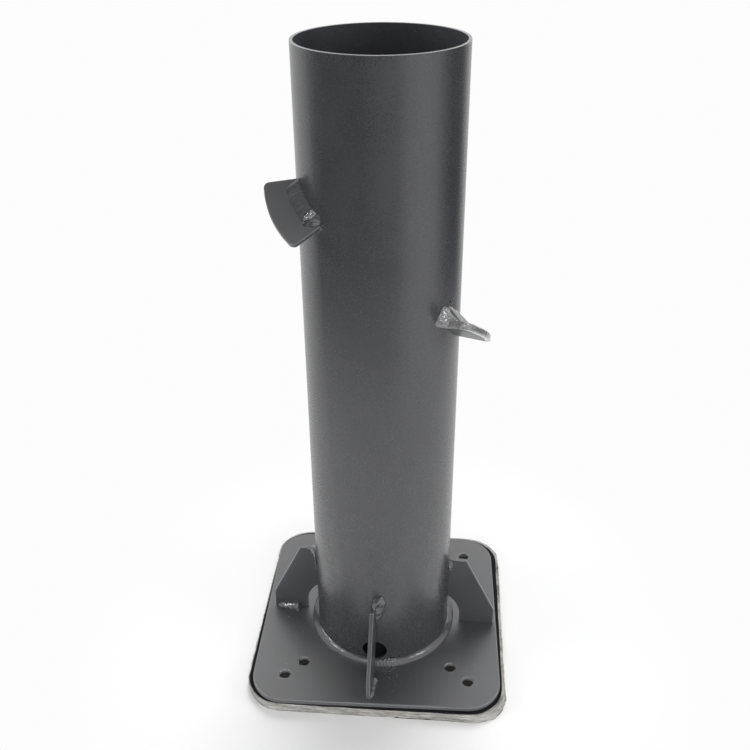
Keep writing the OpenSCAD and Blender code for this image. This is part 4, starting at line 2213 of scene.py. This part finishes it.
@dataclass
class Studio:
    """Floor, lamps, boards, world and camera."""

    floor_half: float = 12.0
    pale: float = 0.82
    backdrop: float = 0.98
    shadow_reach: float = 0.155
    glow_from: float = 0.36
    air_light: float = 0.36
    camera_place: tuple[float, float, float] = (0.042448, -0.731051, 0.743572)
    camera_right: tuple[float, float, float] = (0.99808459, 0.06138048, -0.00771874)
    camera_down: tuple[float, float, float] = (0.02436169, -0.50465741, -0.8629759)
    focal_px: float = 905.43
    image_px: float = 750.0
    lamps: tuple[Lamp, ...] = (
        Lamp("rear_softbox", (-0.1, 1.6, 2.0), (0.0, 0.0, 0.1), 2.2, 18.0),
        Lamp("rear_key", (0.2, 1.1, 2.1), (0.0, 0.0, 0.0), 1.0, 30.0, LampUse.BODY),
        Lamp("left_side", (-1.5, -0.3, 1.0), (0.0, 0.0, 0.25), 0.7, 7.0, LampUse.BODY),
        Lamp("right_side", (1.5, -0.5, 0.9), (0.0, 0.0, 0.25), 0.7, 7.0, LampUse.BODY),
        Lamp("low_front", (0.1, -1.3, 0.3), (0.0, 0.0, 0.05), 0.6, 10.0, LampUse.BODY),
        Lamp("front_spark", (-0.35, -1.05, 1.9), (0.0, 0.0, 0.1), 0.25, 4.5, LampUse.GLOSS),
        Lamp("right_spark", (1.0, -0.2, 1.6), (0.0, 0.0, 0.2), 0.2, 3.0, LampUse.GLOSS),
        Lamp("left_spark", (-1.1, 0.1, 1.5), (0.0, 0.0, 0.3), 0.2, 3.0, LampUse.GLOSS),
        Lamp("left_rear_spark", (-0.9, 0.9, 1.5), (0.0, 0.0, 0.1), 0.2, 3.0, LampUse.GLOSS),
    )
    boards: tuple[DarkFace, ...] = (
        DarkBoard("dark_board_in_front", -124.0, 0.02, 46.0, 34.0, 0.36, 1.15, 11.0),
        DarkBoard("dark_board_at_right", 22.0, 0.021, 10.0, 32.0, 0.60, 1.00, 11.0),
        DarkBoard("dark_board_above", 0.0, 2.3, 180.0, 10.0, -0.2, -0.1, 0.9),
        DarkScreen("dark_screen_behind_the_camera", -116.0, 2.6, 3.2, 1.7, 1.8),
    )

    def build(self) -> None:
        """Builds the studio."""
        self.build_camera()
        self.build_floor()
        self.build_world()
        for thing in (*self.lamps, *self.boards):
            thing.make()

    def build_camera(self) -> None:
        """Puts the camera where the photograph was taken from."""
        data = bpy.data.cameras.new("camera")
        data.sensor_width = 36.0
        data.lens = self.focal_px / self.image_px * data.sensor_width
        data.clip_start = 0.01
        data.clip_end = 50.0
        camera = bpy.data.objects.new("camera", data)
        right = Vector(self.camera_right).normalized()
        up = -Vector(self.camera_down).normalized()
        back = right.cross(up)
        turn = Matrix((right, up, back)).transposed().to_4x4()
        camera.matrix_world = Matrix.Translation(self.camera_place) @ turn
        bpy.context.scene.collection.objects.link(camera)
        bpy.context.scene.camera = camera

    def build_floor(self) -> None:
        """Lays the pale floor."""
        half = self.floor_half
        mesh = bpy.data.meshes.new("floor")
        corners = [(-half, -half, 0.0), (half, -half, 0.0), (half, half, 0.0), (-half, half, 0.0)]
        mesh.from_pydata(corners, [], [(0, 1, 2, 3)])
        floor = new_object("floor", mesh, [self.floor_material()])

    @staticmethod
    def seen_directly(bench: NodeBench) -> bpy.types.NodeSocket:
        """Gives one for rays of the camera, of gloss and of glass, else zero."""
        path = bench.add("ShaderNodeLightPath")
        seen = bench.math("MAXIMUM", path.outputs["Is Camera Ray"], path.outputs["Is Glossy Ray"])
        return bench.math("MAXIMUM", seen, path.outputs["Is Transmission Ray"])

    def floor_material(self) -> bpy.types.Material:
        """Makes the floor's material: its own shadowed colour near the part, plain backdrop far off."""
        material, bench, shader = new_material("pale_floor")
        away = bench.length(bench.place())
        far = bench.ramp(away, self.shadow_reach, self.glow_from)
        glow = bench.math("MULTIPLY", far, self.seen_directly(bench))
        tone = bench.math("MULTIPLY", bench.math("SUBTRACT", 1.0, glow), self.pale)
        colour = bench.add("ShaderNodeCombineColor")
        for channel in ("Red", "Green", "Blue"):
            bench.feed(colour.inputs[channel], tone)
        inputs = {
            "Base Color": colour.outputs["Color"],
            "Roughness": 0.9,
            "Specular IOR Level": 0.0,
            "Emission Color": (1.0, 1.0, 1.0, 1.0),
            "Emission Strength": bench.math("MULTIPLY", glow, self.backdrop),
        }
        bench.fill(shader, inputs)
        return material

    def build_world(self) -> None:
        """Makes the world: pale to the camera and in gloss, softer as light."""
        world = bpy.data.worlds.new("studio_air")
        world.use_nodes = True
        bpy.context.scene.world = world
        bench = NodeBench(world.node_tree)
        air = world.node_tree.nodes["Background"]
        air.inputs["Color"].default_value = (1.0, 1.0, 1.0, 1.0)
        shown = bench.math("MULTIPLY", self.seen_directly(bench), self.backdrop - self.air_light)
        bench.feed(air.inputs["Strength"], bench.math("ADD", shown, self.air_light))


def main() -> None:
    """Builds the studio and the part, in order."""
    logging.basicConfig(level=logging.INFO, format="%(name)s: %(message)s")
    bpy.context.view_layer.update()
    view = bpy.context.scene.view_settings
    view.view_transform = "Standard"
    finishes = Finishes()
    Studio().build()
    GroundLayers(finishes).build()
    FootPlate(finishes).build()
    SocketTube(finishes).build()
    GussetCross(finishes).build()
    LugPair(finishes).build()
    WeldWork(finishes).build()


if __name__ == "__main__":
    main()
